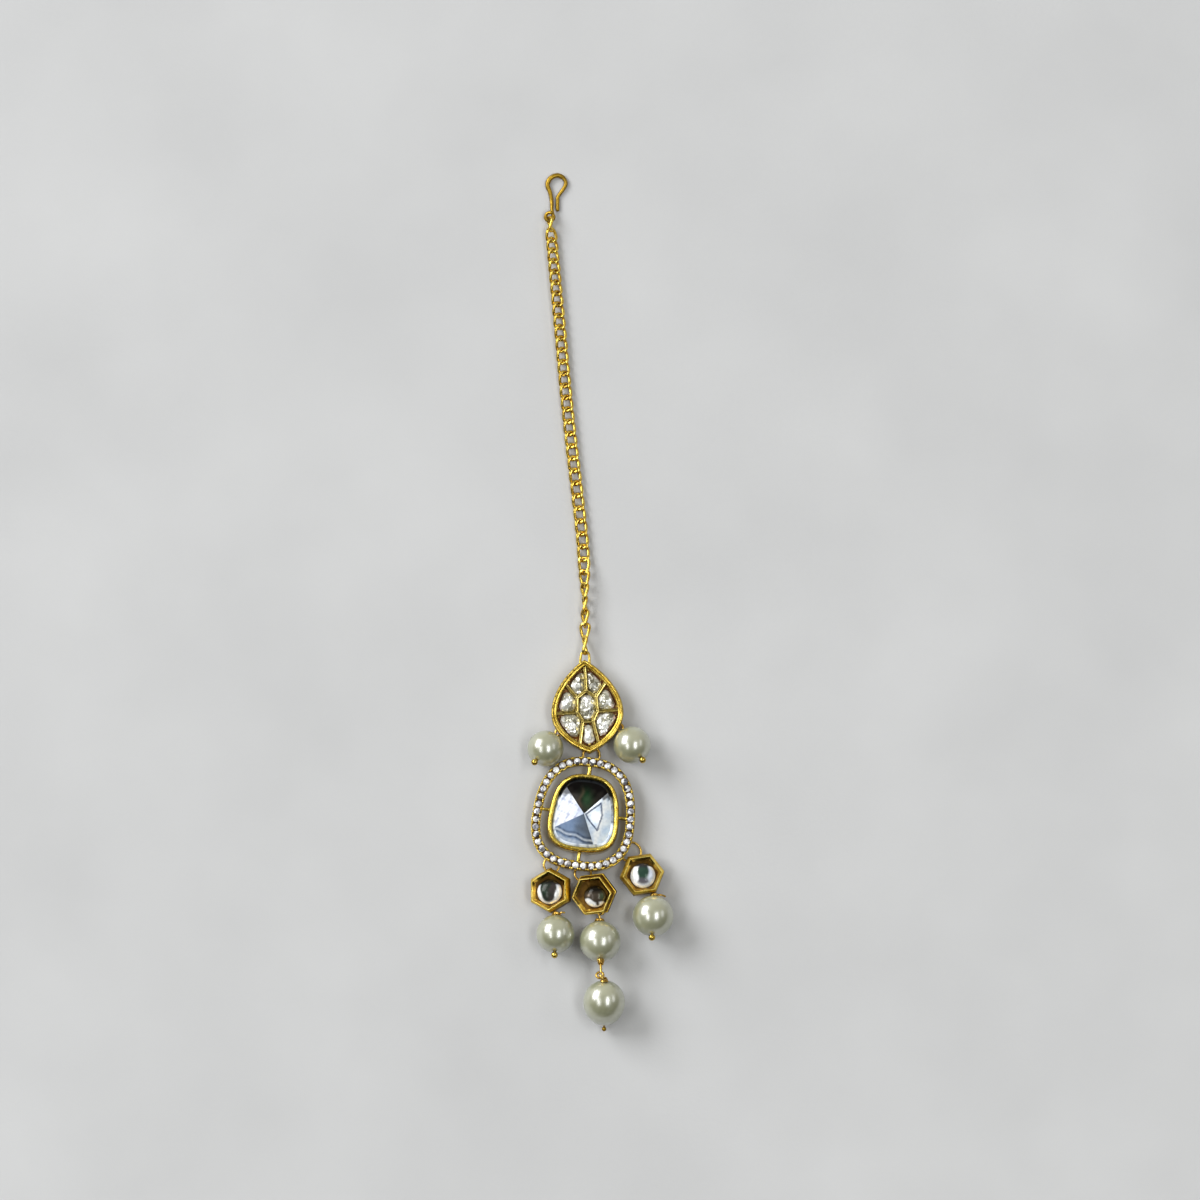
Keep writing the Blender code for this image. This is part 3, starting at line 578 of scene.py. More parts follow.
def tidy_mesh(mesh):
    """Weld points that meet, drop loose ones and turn the faces outwards."""
    build = bmesh.new()
    build.from_mesh(mesh)
    loose = [v for v in build.verts if not v.link_faces]
    bmesh.ops.delete(build, geom=loose, context="VERTS")
    bmesh.ops.remove_doubles(build, verts=build.verts, dist=1e-3 * MM)
    bmesh.ops.recalc_face_normals(build, faces=build.faces)
    build.to_mesh(mesh)
    build.free()


def add_piece(name, shapes, slot, *nodes, sharp=35.0):
    """One mesh piece made from shapes, riding on the root and standing for its CAD nodes."""
    materials = list(dict.fromkeys(shape.material for shape in shapes))
    faces, slots, smooth = [], [], []
    offset = 0
    for shape in shapes:
        faces += [tuple(offset + v for v in face) for face in shape.faces]
        slots += [materials.index(shape.material)] * len(shape.faces)
        smooth += [shape.smooth] * len(shape.faces)
        offset += len(shape.points)
    mesh = bpy.data.meshes.new(name)
    mesh.from_pydata(np.vstack([shape.points for shape in shapes]) * MM, [], faces)
    paint = np.column_stack([np.vstack([shape.paint for shape in shapes]), np.ones(offset)])
    if paint.min() < 1.0:
        layer = mesh.color_attributes.new("paint", "FLOAT_COLOR", "CORNER")
        corners = [v for face in faces for v in face]
        layer.data.foreach_set("color", paint[corners].ravel())
    for material in materials:
        mesh.materials.append(MATERIALS[material])
    mesh.polygons.foreach_set("material_index", slots)
    mesh.polygons.foreach_set("use_smooth", smooth)
    tidy_mesh(mesh)
    mesh.set_sharp_from_angle(angle=math.radians(sharp))
    piece = put_in_scene(name, mesh)
    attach(piece, "root")
    if nodes:
        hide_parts(*nodes)


# Materials


class Nodes:
    """A material's node tree, with short ways to add what these materials share."""

    def __init__(self, name):
        self.material = bpy.data.materials.new(name)
        self.material.use_nodes = True
        self.tree = self.material.node_tree
        self.shader = self.tree.nodes["Principled BSDF"]
        self.place = self.tree.nodes.new("ShaderNodeTexCoord").outputs["Object"]

    def add(self, kind, **links):
        node = self.tree.nodes.new(kind)
        for socket, source in links.items():
            self.tree.links.new(source, node.inputs[socket])
        return node

    def put(self, socket, value):
        """Link a source to a socket, or set its number or its colour."""
        if isinstance(value, bpy.types.NodeSocket):
            self.tree.links.new(value, socket)
        elif socket.type == "RGBA":
            socket.default_value = (*value, 1.0)
        else:
            socket.default_value = value

    def noise(self, size, detail=3.0):
        """Noise whose features are about this many millimetres across."""
        node = self.add("ShaderNodeTexNoise", Vector=self.place)
        node.inputs["Scale"].default_value = 1.0 / (size * MM)
        node.inputs["Detail"].default_value = detail
        return node.outputs["Fac"]

    def cells(self, size, output="Distance"):
        """Cells about this many millimetres across: the distance to their middles, or a colour for each."""
        node = self.add("ShaderNodeTexVoronoi", Vector=self.place)
        node.inputs["Scale"].default_value = 1.0 / (size * MM)
        return node.outputs[output]

    def ramp(self, factor, *stops):
        """A colour or grey ramp through (position, colour) stops."""
        node = self.add("ShaderNodeValToRGB", Fac=factor)
        fill_ramp(node, stops)
        return node.outputs["Color"]

    def mix(self, factor, a, b, blend="MIX"):
        node = self.tree.nodes.new("ShaderNodeMix")
        node.data_type = "RGBA"
        node.blend_type = blend
        for socket, value in zip((node.inputs[0], node.inputs[6], node.inputs[7]), (factor, a, b)):
            self.put(socket, value)
        return node.outputs[2]

    def painted(self):
        node = self.add("ShaderNodeAttribute")
        node.attribute_name = "paint"
        return node.outputs["Color"]

    def bump(self, height, depth, below=None):
        """A bump this many millimetres deep, on top of an earlier one if there is one."""
        node = self.add("ShaderNodeBump", Height=height)
        node.inputs["Distance"].default_value = depth * MM
        if below:
            self.tree.links.new(below, node.inputs["Normal"])
        return node.outputs["Normal"]

    def finish(self, **sockets):
        """Link or set the shader's sockets, whose names' spaces are written as underscores."""
        for key, value in sockets.items():
            self.put(self.shader.inputs[key.replace("_", " ")], value)
        return self.material


def gold(name, bright, deep, roughness, wave, wave_depth, metallic=1.0):
    """Plated metal: colour that wanders, a hammered wave, a fine grain and painted shade, dark brown, in its
    hollows.
    """
    n = Nodes(name)
    tone = n.ramp(n.noise(1.3, 4.0), (0.35, deep), (0.62, bright))
    hollow = n.add("ShaderNodeNewGeometry").outputs["Pointiness"]
    # painted shade in the hollows
    hollow_shaded = n.mix(n.ramp(hollow, (0.42, 1.0), (0.49, 0.0)), tone, HOLLOW_SHADE)
    rough = n.ramp(n.noise(0.5, 4.0), (0.3, roughness * 0.7), (0.7, roughness * 1.4))
    waved = n.bump(n.noise(wave, 1.0), wave_depth)
    grained = n.bump(n.noise(0.12, 3.0), 0.004, waved)
    return n.finish(Base_Color=hollow_shaded, Metallic=metallic, Roughness=rough, Normal=grained)


def pearl_lacquer():
    """Grey-green nacre under a strong clear coat, with painted edge shading: one even tone towards its edge."""
    n = Nodes("pearl_lacquer")
    body = n.ramp(n.noise(2.6, 2.0), (0.35, (0.275, 0.28, 0.16)), (0.65, (0.33, 0.335, 0.21)))
    facing = n.add("ShaderNodeLayerWeight").outputs["Facing"]
    # painted shading towards the edge
    tone = n.mix(n.ramp(facing, (0.42, 0.0), (0.85, 1.0)), body, (0.29, 0.31, 0.19))
    rough = n.ramp(n.noise(1.0, 3.0), (0.3, 0.28), (0.7, 0.36))
    skin = n.bump(n.noise(0.35, 2.0), 0.002)
    return n.finish(
        Base_Color=tone, Roughness=rough, Normal=skin, IOR=2.2, Metallic=0.0,
        Coat_Weight=1.0, Coat_Roughness=0.25, Coat_IOR=2.5, Subsurface_Weight=0.1,
        Subsurface_Radius=(1.0, 0.9, 0.6), Subsurface_Scale=0.8 * MM,
    )


def cut_stone(name, size, dark, middle, light, metallic):
    """A clear stone over foil: cells of painted reflections, from dark to white glints, as in its inner facets,
    under a clean gloss.
    """
    n = Nodes(name)
    chance = n.add("ShaderNodeSeparateColor", Color=n.cells(size, output="Color")).outputs["Red"]
    # painted reflections and glints, one tone a cell
    painted_glints = n.ramp(chance, (0.0, dark), (0.3, middle), (0.62, light), (1.0, (1.0, 1.0, 1.0)))
    facets = n.bump(n.cells(size * 0.8), size * 0.35)
    rough = n.ramp(n.noise(0.6), (0.3, 0.04), (0.7, 0.12))
    return n.finish(
        Base_Color=painted_glints, Metallic=metallic, Roughness=rough, Normal=facets,
        Coat_Weight=0.8, Coat_Roughness=0.04, IOR=1.7,
    )


def foil_facet(name, low, high, wave, gloss, painted=False):
    """A stone over foil: a streaked tone, multiplied by the piece's own paint, its painted reflections, if it
    is painted.
    """
    n = Nodes(name)
    streaks = n.ramp(n.noise(wave, 4.0), (0.36, low), (0.62, high))
    tone = n.mix(1.0, streaks, n.painted(), "MULTIPLY") if painted else streaks
    rough = n.ramp(n.noise(0.8), (0.3, 0.16), (0.7, 0.26))
    waves = n.bump(n.noise(wave * 1.6, 2.0), 0.015)
    return n.finish(
        Base_Color=tone, Metallic=0.15, Roughness=rough, Normal=waves, IOR=1.2,
        Coat_Weight=gloss, Coat_Roughness=0.05, Coat_IOR=1.4,
    )


def floor_paper():
    """Plain pale matt paper with a faint tooth."""
    n = Nodes("floor_paper")
    tone = n.ramp(n.noise(40.0, 3.0), (0.3, (0.50, 0.50, 0.51)), (0.7, (0.55, 0.55, 0.56)))
    tooth = n.bump(n.noise(0.7, 4.0), 0.03)
    return n.finish(Base_Color=tone, Roughness=0.75, Normal=tooth)


def make_materials():
    return {
        **{name: gold(name, *looks) for name, looks in GOLDS.items()},
        "pearl": pearl_lacquer(),
        "clear_stone": cut_stone("clear_stone", 0.95, (0.13, 0.115, 0.07), (0.38, 0.365, 0.28),
                                 (0.62, 0.61, 0.54), 0.35),
        "white_stone": cut_stone("white_stone", 1.1, (0.40, 0.38, 0.32), (0.7, 0.69, 0.62),
                                 (0.92, 0.92, 0.9), 0.2),
        "pave_stone": cut_stone("pave_stone", 0.6, (0.015, 0.015, 0.03), (0.42, 0.43, 0.50),
                                (0.97, 0.98, 1.0), 0.15),
        # the centre stone's and the domes' foils show the painted reflections in their paint
        "stone_facet": foil_facet("stone_facet", (0.84, 0.86, 0.90), (1.0, 1.0, 1.0), 0.5, 0.0, True),
        "stone_back": foil_facet("stone_back", (0.05, 0.055, 0.06), (0.12, 0.13, 0.14), 0.8, 0.5),
        "dome_foil": foil_facet("dome_foil", (0.82, 0.83, 0.86), (1.0, 1.0, 1.0), 0.6, 0.15, True),
        "floor": floor_paper(),
    }


MATERIALS = make_materials()


# The hook and the chain


def add_hook():
    """One bent wire: its eye, a foot down to the floor, and the keyhole loop, thicker at its top."""
    angles = np.radians(np.arange(HOOK_EYE_START, HOOK_EYE_END, 10))
    eye = circle(angles, HOOK_EYE_RADIUS) + HOOK_EYE
    plan = smooth_route(np.vstack([eye[::3], HOOK_BEND]), HOOK_SPACING)
    run = np.linspace(0.0, 1.0, len(plan))
    fall = clamp((run - HOOK_FALL_START) / HOOK_FALL_SHARE)
    height = HOOK_EYE_Z + (HOOK_WIRE - HOOK_EYE_Z) * fall * fall * (3 - 2 * fall)
    height += HOOK_EYE_RISE * clamp(1 - run / HOOK_EYE_RISE_SHARE) ** 2
    points, radii = rounded_ends(np.column_stack([plan, height]), HOOK_WIRE)
    swell = bell(np.linspace(0.0, 1.0, len(points)) - HOOK_TOP_SHARE, HOOK_SWELL_SHARE)
    radii = radii * (1 + HOOK_SWELL * swell)
    points[:, 2] += radii - np.minimum(radii, HOOK_WIRE)
    add_piece("hair_hook_wire", [tube(points, radii, "hook_gold", 18)], "dull_gold", "hair_hook")


def curb_link(pitch, half_width):
    """A curb link along X: an oval ring of wire, twisted so that it lies flat, with its faces ground down."""
    half_length = pitch / 2 + LINK_WIRE + LINK_PLAY
    t = np.linspace(0.0, 2 * math.pi, 36, endpoint=False)
    path = np.stack([
        half_length * squarish(np.cos(t), LINK_SQUARENESS),
        half_width * squarish(np.sin(t), LINK_SQUARENESS),
        LINK_TWIST * np.sin(2 * t),
    ], axis=1)
    path = evenly(path, (2.6 * half_length + 2.6 * half_width) / 15)
    link = tube(path, LINK_WIRE, "chain_gold", 12, closed=True)
    link.points[:, 2] = np.clip(link.points[:, 2], -LINK_FLAT, LINK_FLAT)
    return link


def add_chain():
    """The curb links from the hook's eye to the leaf's loop; the last few twist edge on."""
    route = smooth_route(CHAIN_ROUTE, 0.1)
    run = run_along(route)
    knots = [share * run[-1] for share in PITCH_SHARES]
    ends, pitches = [LINK_WIRE], []
    while ends[-1] < run[-1]:
        pitches.append(float(np.interp(ends[-1], knots, LINK_PITCHES)))
        ends.append(ends[-1] + pitches[-1])
    stretch = (run[-1] - 2 * LINK_WIRE) / (ends[-1] - ends[0])
    shapes = []
    for i, pitch in enumerate(pitches):
        pitch *= stretch
        middle = LINK_WIRE + (ends[i] - LINK_WIRE) * stretch + pitch / 2
        share = middle / run[-1]
        x, y = (float(np.interp(middle, run, route[:, k])) for k in range(2))
        ahead = [float(np.interp(middle + 1.0, run, route[:, k])) for k in range(2)]
        behind = [float(np.interp(middle - 1.0, run, route[:, k])) for k in range(2)]
        heading = math.atan2(ahead[1] - behind[1], ahead[0] - behind[0])
        from_end = len(pitches) - 1 - i
        roll = float(np.interp(share, ROLL_SHARES, ROLLS))
        if from_end < len(END_ROLLS):
            roll = END_ROLLS[from_end]
        if i == 0:
            roll = FIRST_ROLL
        lying = LINK_FLAT * abs(math.cos(math.radians(roll)))
        standing = (LINK_HALF_WIDTH + LINK_WIRE) * abs(math.sin(math.radians(roll)))
        z = max(lying + standing * LINK_STANDING, LINK_LOWEST)
        z = max(z, LEAF_LOOP[2] - END_FALL * from_end) if from_end < END_HELD else z
        narrow = END_NARROWING if i == 0 or from_end == 0 else 1.0
        link = curb_link(pitch, LINK_HALF_WIDTH * narrow)
        turn = Matrix.Translation((x, y, z)) @ Matrix.Rotation(heading, 4, "Z")
        shapes.append(link.moved(turn @ Matrix.Rotation(math.radians(roll), 4, "X")))
    add_piece("chain_links", shapes, "gold", "chain")


# The leaf


def cell_walls():
    """The ring of walls round the middle cell, and the walls from it to the rim."""
    corners = list(CELL_CORNERS) + [(-u, v) for u, v in reversed(CELL_CORNERS[1:])]
    walls = [(corner, corners[(i + 1) % len(corners)]) for i, corner in enumerate(corners)]
    for start, end in zip(CELL_CORNERS, CELL_WALL_ENDS):
        walls.append((start, end))
        if start[0] > 0:
            walls.append(((-start[0], start[1]), (-end[0], end[1])))
    return walls


def leaf_metal():
    """The plate and rim, a rope round most of its edge, grooved cell walls with beaded joints, and grains; the
    inner wall down to the floor is in painted shade.
    """
    outline = evenly(leaf_outline(44), 0.3)
    top = LEAF_RIM_TOP
    levels = (
        (LEAF_UNDERSIDE, 0.35), (LEAF_UNDERSIDE + 0.08, 0.12), (LEAF_UNDERSIDE + 0.3, 0.0),
        (top - 0.6, 0.0), (top - 0.35, 0.05), (top - 0.25, 0.15), (top - 0.25, 0.5),
        (top - 0.08, 0.56), (top, 0.68), (top - 0.03, 0.86), (top - 0.2, 1.0),
        (LEAF_FLOOR + 0.1, 1.06), (LEAF_FLOOR, 1.2),
    )
    # the inner wall down to the floor under the stones in painted shade
    materials = ["gold"] * 7 + ["bright_gold"] * 3 + ["shaded_seat_gold"] * 2
    shapes = dish(outline, levels, materials)
    rope = evenly(inset(outline, ROPE_INSET), 0.07)
    around = np.degrees(np.arctan2(rope[:, 1], rope[:, 0]))
    plain = clamp((around - ROPE_PLAIN[0]) / 12) * clamp((ROPE_PLAIN[1] - around) / 12)
    twist = (ROPE_PITCH, ROPE_DEPTH * (1 - plain))
    shapes.append(tube(raised(rope, top - 0.2), ROPE_WIRE, "gold", 10, closed=True, twist=twist))
    half, low = WALL_WIDTH / 2, LEAF_FLOOR - 0.1
    groove = (
        (half, low), (half, WALL_TOP - 0.1), (half * 0.72, WALL_TOP), (half * 0.4, WALL_TOP - 0.02),
        (0.0, WALL_TOP - 0.14), (-half * 0.4, WALL_TOP - 0.02), (-half * 0.72, WALL_TOP),
        (-half, WALL_TOP - 0.1), (-half, low),
    )
    for start, end in cell_walls():
        shapes += bar(start, end, groove, "wall_gold")
    for u, v in CELL_CORNERS:
        for side in (1, -1) if u else (1,):
            shapes.append(ball((side * u, v, WALL_TOP - 0.27), WALL_BEAD, "wall_gold"))
    rng = np.random.default_rng(5)
    for cell in leaf_cells():
        middle = cell.mean(axis=0)
        for corner, before, after in zip(cell, np.roll(cell, 1, axis=0), np.roll(cell, -1, axis=0)):
            first, second = before - corner, after - corner
            cosine = first @ second / (np.linalg.norm(first) * np.linalg.norm(second))
            if cosine < -0.7:
                continue
            spot = corner + (middle - corner) * (0.55 + 0.2 * rng.random()) / np.linalg.norm(middle - corner)
            spot = spot + rng.uniform(-0.15, 0.15, 2)
            shapes.append(ball((*spot, LEAF_FLOOR + 0.35), rng.uniform(0.15, 0.24), "wall_gold", 8, 6))
    return moved(shapes, turn_about_z(LEAF_CENTRE, LEAF_TURN))


def leaf_cells():
    """The cells' outlines: the middle one, then each pair from the top down, then the bottom one."""
    corners = np.array(CELL_CORNERS)
    rim = inset(evenly(leaf_outline(44), 0.3), 1.0)
    around = np.degrees(np.arctan2(rim[:, 0], rim[:, 1]))
    mirror = np.array((-1.0, 1.0))
    cells = [np.vstack([corners[::-1], corners[1:] * mirror])]
    for k in range(3):
        first, last = (math.degrees(math.atan2(*CELL_WALL_ENDS[j])) for j in (k, k + 1))
        arc = rim[(around > first) & (around < last)]
        arc = arc[np.argsort(np.arctan2(arc[:, 1], arc[:, 0]))]
        cell = np.vstack([corners[k], corners[k + 1], arc])
        cells += [cell, (cell * mirror)[::-1]]
    reach = math.degrees(math.atan2(*CELL_WALL_ENDS[3]))
    arc = rim[np.abs(around) > reach]
    arc = arc[np.argsort(arc[:, 0])]
    cells.append(np.vstack([corners[3] * mirror, arc, corners[3]]))
    return cells


def filling(cell, margin, ease):
    """A stone's centre and its outline as a function of the angle: it fills the cell, with eased corners."""
    ends = np.roll(cell, -1, axis=0)
    doubled = cell[:, 0] * ends[:, 1] - ends[:, 0] * cell[:, 1]
    centre = ((cell + ends) * doubled[:, None]).sum(axis=0) / (3 * doubled.sum())
    angles = np.radians(np.arange(0, 360, 3))
    reach = []
    for angle in angles:
        ray = np.array((math.cos(angle), math.sin(angle)))
        nearest = math.inf
        for a, b in zip(cell - centre, ends - centre):
            side = b - a
            cross = ray[0] * side[1] - ray[1] * side[0]
            if abs(cross) < 1e-9:
                continue
            far = (a[0] * side[1] - a[1] * side[0]) / cross
            share = (a[0] * ray[1] - a[1] * ray[0]) / cross
            if far > 0 and -1e-6 <= share <= 1 + 1e-6:
                nearest = min(nearest, far)
        reach.append(nearest)
    reach = np.array(reach)
    for _ in range(ease):
        reach = (np.roll(reach, 1) + 2 * reach + np.roll(reach, -1)) / 4
    points = circle(angles) * (reach - margin)[:, None]

    def at(angle):
        place = (angle % (2 * math.pi)) / math.radians(3)
        low = int(place) % len(points)
        return points[low] + (points[(low + 1) % len(points)] - points[low]) * (place - int(place))

    return centre, at


def leaf_loop():
    """The arched loop at the leaf's top, flared where it is soldered on."""
    x, y, z = LEAF_LOOP
    arch = [(x - 0.95, y - 1.9, z - 0.2), (x - 0.78, y - 1.2, z), (x - 0.74, y - 0.3, z)]
    for angle in (150, 120, 90, 60, 30):
        a = math.radians(angle)
        arch.append((x + 0.07 + 0.76 * math.cos(a), y + 0.1 + 0.78 * math.sin(a), z))
    arch += [(x + 0.84, y - 0.3, z), (x + 0.86, y - 1.2, z), (x + 1.0, y - 1.9, z - 0.2)]
    points = smooth_route(arch, 0.1)
    share = np.abs(np.linspace(-1.0, 1.0, len(points)))
    radii = LOOP_WIRE + LOOP_FLARE * clamp((share - 0.6) / 0.4) ** 2
    return tube(points, radii, "gold", 12)


def eyelet(centre, pull, normal=(0.0, 0.0, 1.0)):
    """A soldered wire eye under a plate, in the plane of the pull and the plate's normal."""
    hole_axis = Vector(normal).cross(Vector((*pull, 0.0))).normalized()
    angle = np.linspace(0, 2 * math.pi, 28, endpoint=False)
    ring = raised(circle(angle, EYELET_RADIUS), 0.0)
    return tube(ring, EYELET_WIRE, "wire_gold", 10, closed=True).moved(aimed(centre, hole_axis))


def add_leaf():
    shapes = leaf_metal() + [leaf_loop()]
    link, frame_eye = (at_eye(place) for place in LINK_EYES)
    shapes.append(eyelet(link, (frame_eye - link)[:2]))
    for side, place in UPPER_PIN_EYES.items():
        centre = at_eye(place)
        pearl = Pearl(f"upper_pearl_{side}")
        shapes.append(eyelet(centre, (pearl.entry - centre)[:2]))
    add_piece("leaf_metalwork", shapes, "gold", "leaf_setting", sharp=50.0)
    place = turn_about_z(LEAF_CENTRE, LEAF_TURN)
    for number, cell in enumerate(leaf_cells(), 1):
        margin = LAST_STONE_MARGIN if number == 8 else STONE_MARGIN
        centre, outline = filling(cell, margin, STONE_EASE)
        material = "white_stone" if number == 8 else "clear_stone"
        stone = brilliant(outline, 8, LEAF_STONE_ROWS, material, 0.12)
        spot = place @ Matrix.Translation((*centre, LEAF_FLOOR))
        add_piece(f"leaf_stone_{number}_cut", moved([stone], spot), "clear_stone", f"leaf_stone_{number}")


# The centre frame


def halo_metal():
    """The paved oval's channel, its floor in painted shade, and the bead prongs between its stones."""
    outer = evenly(superellipse(*HALO_OUTER, 400), 0.35)
    centre_line = superellipse(*[(a + b) / 2 for a, b in zip(HALO_OUTER, HALO_INNER)], 720)
    width = HALO_OUTER[0] - HALO_INNER[0]
    levels = (
        (HALO_UNDERSIDE + 0.15, 0.0), (HALO_TOP - 0.4, 0.0), (HALO_TOP - 0.28, 0.04), (HALO_TOP - 0.26, 0.1),
        (HALO_TOP - 0.42, 0.15), (HALO_TOP - 0.42, width - 0.17), (HALO_TOP - 0.26, width - 0.12),
        (HALO_TOP - 0.28, width - 0.05), (HALO_TOP - 0.4, width), (HALO_UNDERSIDE + 0.15, width),
        (HALO_UNDERSIDE, width - 0.15), (HALO_UNDERSIDE, 0.15),
    )
    rings = [raised(inset(outer, margin), z) for z, margin in levels]
    # the channel's floor between the stones in painted shade
    materials = ["gold", "bright_gold", "bright_gold", "gold", "shaded_cup_seat", "gold", "bright_gold",
                 "gold", "gold", "gold", "gold", "gold"]
    shapes = loft(rings, materials, cyclic=True)
    places = evenly(centre_line, 0.02)
    step = len(places) / HALO_STONES
    stones = []
    rng = np.random.default_rng(11)
    for i in range(HALO_STONES):
        here = places[round(i * step) % len(places)]
        stone = brilliant(round_outline(HALO_STONE), 8, HALO_STONE_ROWS, "pave_stone", -0.25)
        tilt = Matrix.Rotation(math.radians(rng.uniform(-7, 7)), 4, "X")
        tilt = tilt @ Matrix.Rotation(math.radians(rng.uniform(-7, 7)), 4, "Y")
        turn = turn_about_z((*here, HALO_TOP - 0.06), rng.uniform(0, 45))
        stones.append(stone.moved(turn @ tilt))
        gap = round((i + 0.5) * step) % len(places)
        ahead = places[(gap + 5) % len(places)] - places[gap - 5]
        across = np.array((ahead[1], -ahead[0])) / np.linalg.norm(ahead)
        for side in (-1, 1):
            for slip in (-PRONG_SLIP, PRONG_SLIP):
                spot = places[gap] + across * side * PRONG_OFFSET + unit(ahead) * slip
                shapes.append(ball((*spot, HALO_TOP + 0.02), PRONG_RADIUS, "bright_gold", 10, 7))
    return shapes, stones


def cup_metal():
    """The large stone's cup: a plain wall and a soft, slightly hammered rim, with painted shade under the rim
    and deep inside.
    """
    outline = evenly(superellipse(*CUP_OUTLINE, 600), 0.22)
    levels = (
        (0.0, 0.7), (0.05, 0.4), (0.3, 0.12), (0.9, 0.0), (CUP_TOP - 1.0, 0.0), (CUP_TOP - 0.6, 0.04),
        (CUP_TOP - 0.36, 0.08), (CUP_TOP - 0.3, 0.14), (CUP_TOP - 0.08, 0.22), (CUP_TOP, 0.4),
        (CUP_TOP - 0.03, 0.62), (CUP_TOP - 0.2, 0.8), (CUP_TOP - 0.55, 0.9), (CUP_TOP - 1.0, 0.94),
        (CUP_TOP - 1.6, 0.95), (1.2, 0.97),
    )
    # painted shade in the step under the rim and on the inner wall under the stone
    materials = ["gold"] * 6 + ["shaded_side_gold"] + ["bezel_gold"] * 5 + ["gold"] + ["shaded_seat_gold"] * 2
    shapes = dish(outline, levels, materials)
    for shape in shapes:
        x, y, z = shape.points.T
        dent = np.sin(1.9 * x + 1.3 * y) * np.sin(1.6 * y - 2.1 * x + 0.8)
        lift = clamp((z - CUP_TOP + 0.7) / 0.7)
        shape.points[:, 2] += 0.01 * dent * lift
    return shapes


def spoke(start, end, radius):
    """A short round bar, flared where it is soldered at both ends."""
    points = np.linspace(start, end, 15)
    share = np.abs(np.linspace(-1.0, 1.0, 15))
    radii = radius + SPOKE_FLARE * share**4
    return tube(points, radii, "bright_gold", 12)


def add_centre():
    shapes, stones = halo_metal()
    shapes += cup_metal()
    for sign, side_radius, end_radius in SPOKE_RADII:
        shapes.append(spoke(*[(sign * reach, 0.0, SPOKE_Z) for reach in SPOKE_SIDES], side_radius))
        shapes.append(spoke(*[(0.0, sign * reach, SPOKE_Z) for reach in SPOKE_ENDS], end_radius))
    place = turn_about_z(FRAME_CENTRE, FRAME_TURN)
    shapes = moved(shapes + stones, place)
    leaf_eye, frame_eye = (at_eye(spot) for spot in LINK_EYES)
    shapes.append(eyelet(frame_eye, (frame_eye - leaf_eye)[:2]))
    for side, spot in FRAME_EYES.items():
        centre = at_eye(spot)
        shapes.append(eyelet(centre, (Cup(side).top - centre)[:2]))
    add_piece("centre_frame_metalwork", shapes, "gold", "centre_frame", sharp=50.0)
    add_piece("centre_stone_cut", moved(centre_stone(), place), "foiled_stone", "centre_stone", sharp=12.0)


def centre_stone():
    """Four flat facets that meet at a point off the middle, a curved girdle band and a plain back; facets and
    band carry painted reflections.
    """
    apex = np.array(STONE_APEX)
    outline = inset(evenly(superellipse(*CUP_OUTLINE, 600), 0.18), STONE_INSET)
    ridges = [np.array((*end, STONE_RIDGE_Z)) for end in STONE_RIDGE_ENDS]
    inner = outline * STONE_FACET_SHARE
    around = np.arctan2(inner[:, 1] - apex[1], inner[:, 0] - apex[0])
    starts = []
    for ridge in ridges:
        angle = math.atan2(ridge[1] - apex[1], ridge[0] - apex[0])
        gap = np.abs((around - angle + math.pi) % (2 * math.pi) - math.pi)
        starts.append(int(np.argmin(gap)))
    count = len(inner)
    heights = np.zeros(count)
    shapes = []
    for k, paint in enumerate((paint_top, paint_right, paint_bottom, paint_left)):
        first, second = ridges[k], ridges[(k + 1) % 4]
        normal = np.cross(first - apex, second - apex)
        begin, end = starts[(k + 1) % 4], starts[k]
        span = [(begin + j) % count for j in range((end - begin) % count + 1)]
        offsets = inner[span] - apex[:2]
        heights[span] = apex[2] - offsets @ normal[:2] / normal[2]
        shapes.append(facet(apex, np.column_stack([inner[span], heights[span]]), paint))
    rim = np.column_stack([inner, heights])
    girdle = raised(outline, STONE_GIRDLE_Z)
    skirt = np.vstack([rim, (rim + girdle) / 2 + (0, 0, 0.06), girdle])
    shapes.append(Shape(skirt, grid_faces(2, count, cyclic=True), "stone_facet", True, paint_girdle(skirt)))
    under = [girdle, raised(inset(outline, 0.15), STONE_GIRDLE_Z - 0.25), raised(inset(outline, 0.9), 1.5)]
    faces = grid_faces(2, count, cyclic=True) + [tuple(range(2 * count, 3 * count))]
    shapes.append(Shape(np.vstack(under), faces, "stone_back"))
    return shapes


def grid_faces(rows, columns, cyclic):
    """Faces over rows of points that follow each other."""
    faces = []
    for i in range(rows):
        for j in range(columns if cyclic else columns - 1):
            m = (j + 1) % columns
            faces.append((i * columns + j, (i + 1) * columns + j, (i + 1) * columns + m, i * columns + m))
    return faces


def facet(apex, edge, paint):
    """A flat facet between its point and its curved edge, as a fine grid that carries its painted reflections.
    """
    points = np.vstack([apex + (edge - apex) * share for share in np.linspace(0.02, 1.0, FACET_ROWS)])
    points = np.vstack([points, [apex]])
    faces = grid_faces(FACET_ROWS - 1, len(edge), cyclic=False)
    faces += [(len(points) - 1, j, j + 1) for j in range(len(edge) - 1)]
    return Shape(points, faces, "stone_facet", False, paint(points - apex))


def blend(low, high, share):
    """Colours mixed point by point."""
    share = clamp(share)[:, None]
    return np.array(low) * (1 - share) + np.array(high) * share


def ripple(x, y, scale):
    """A smooth wandering value from -1 to 1."""
    return (
        np.sin(scale * (1.7 * x + 0.9 * y)) * np.sin(scale * (0.8 * x - 1.6 * y) + 1.3)
        + 0.5 * np.sin(scale * (3.1 * x - 2.3 * y) + 0.7)
    ) / 1.5


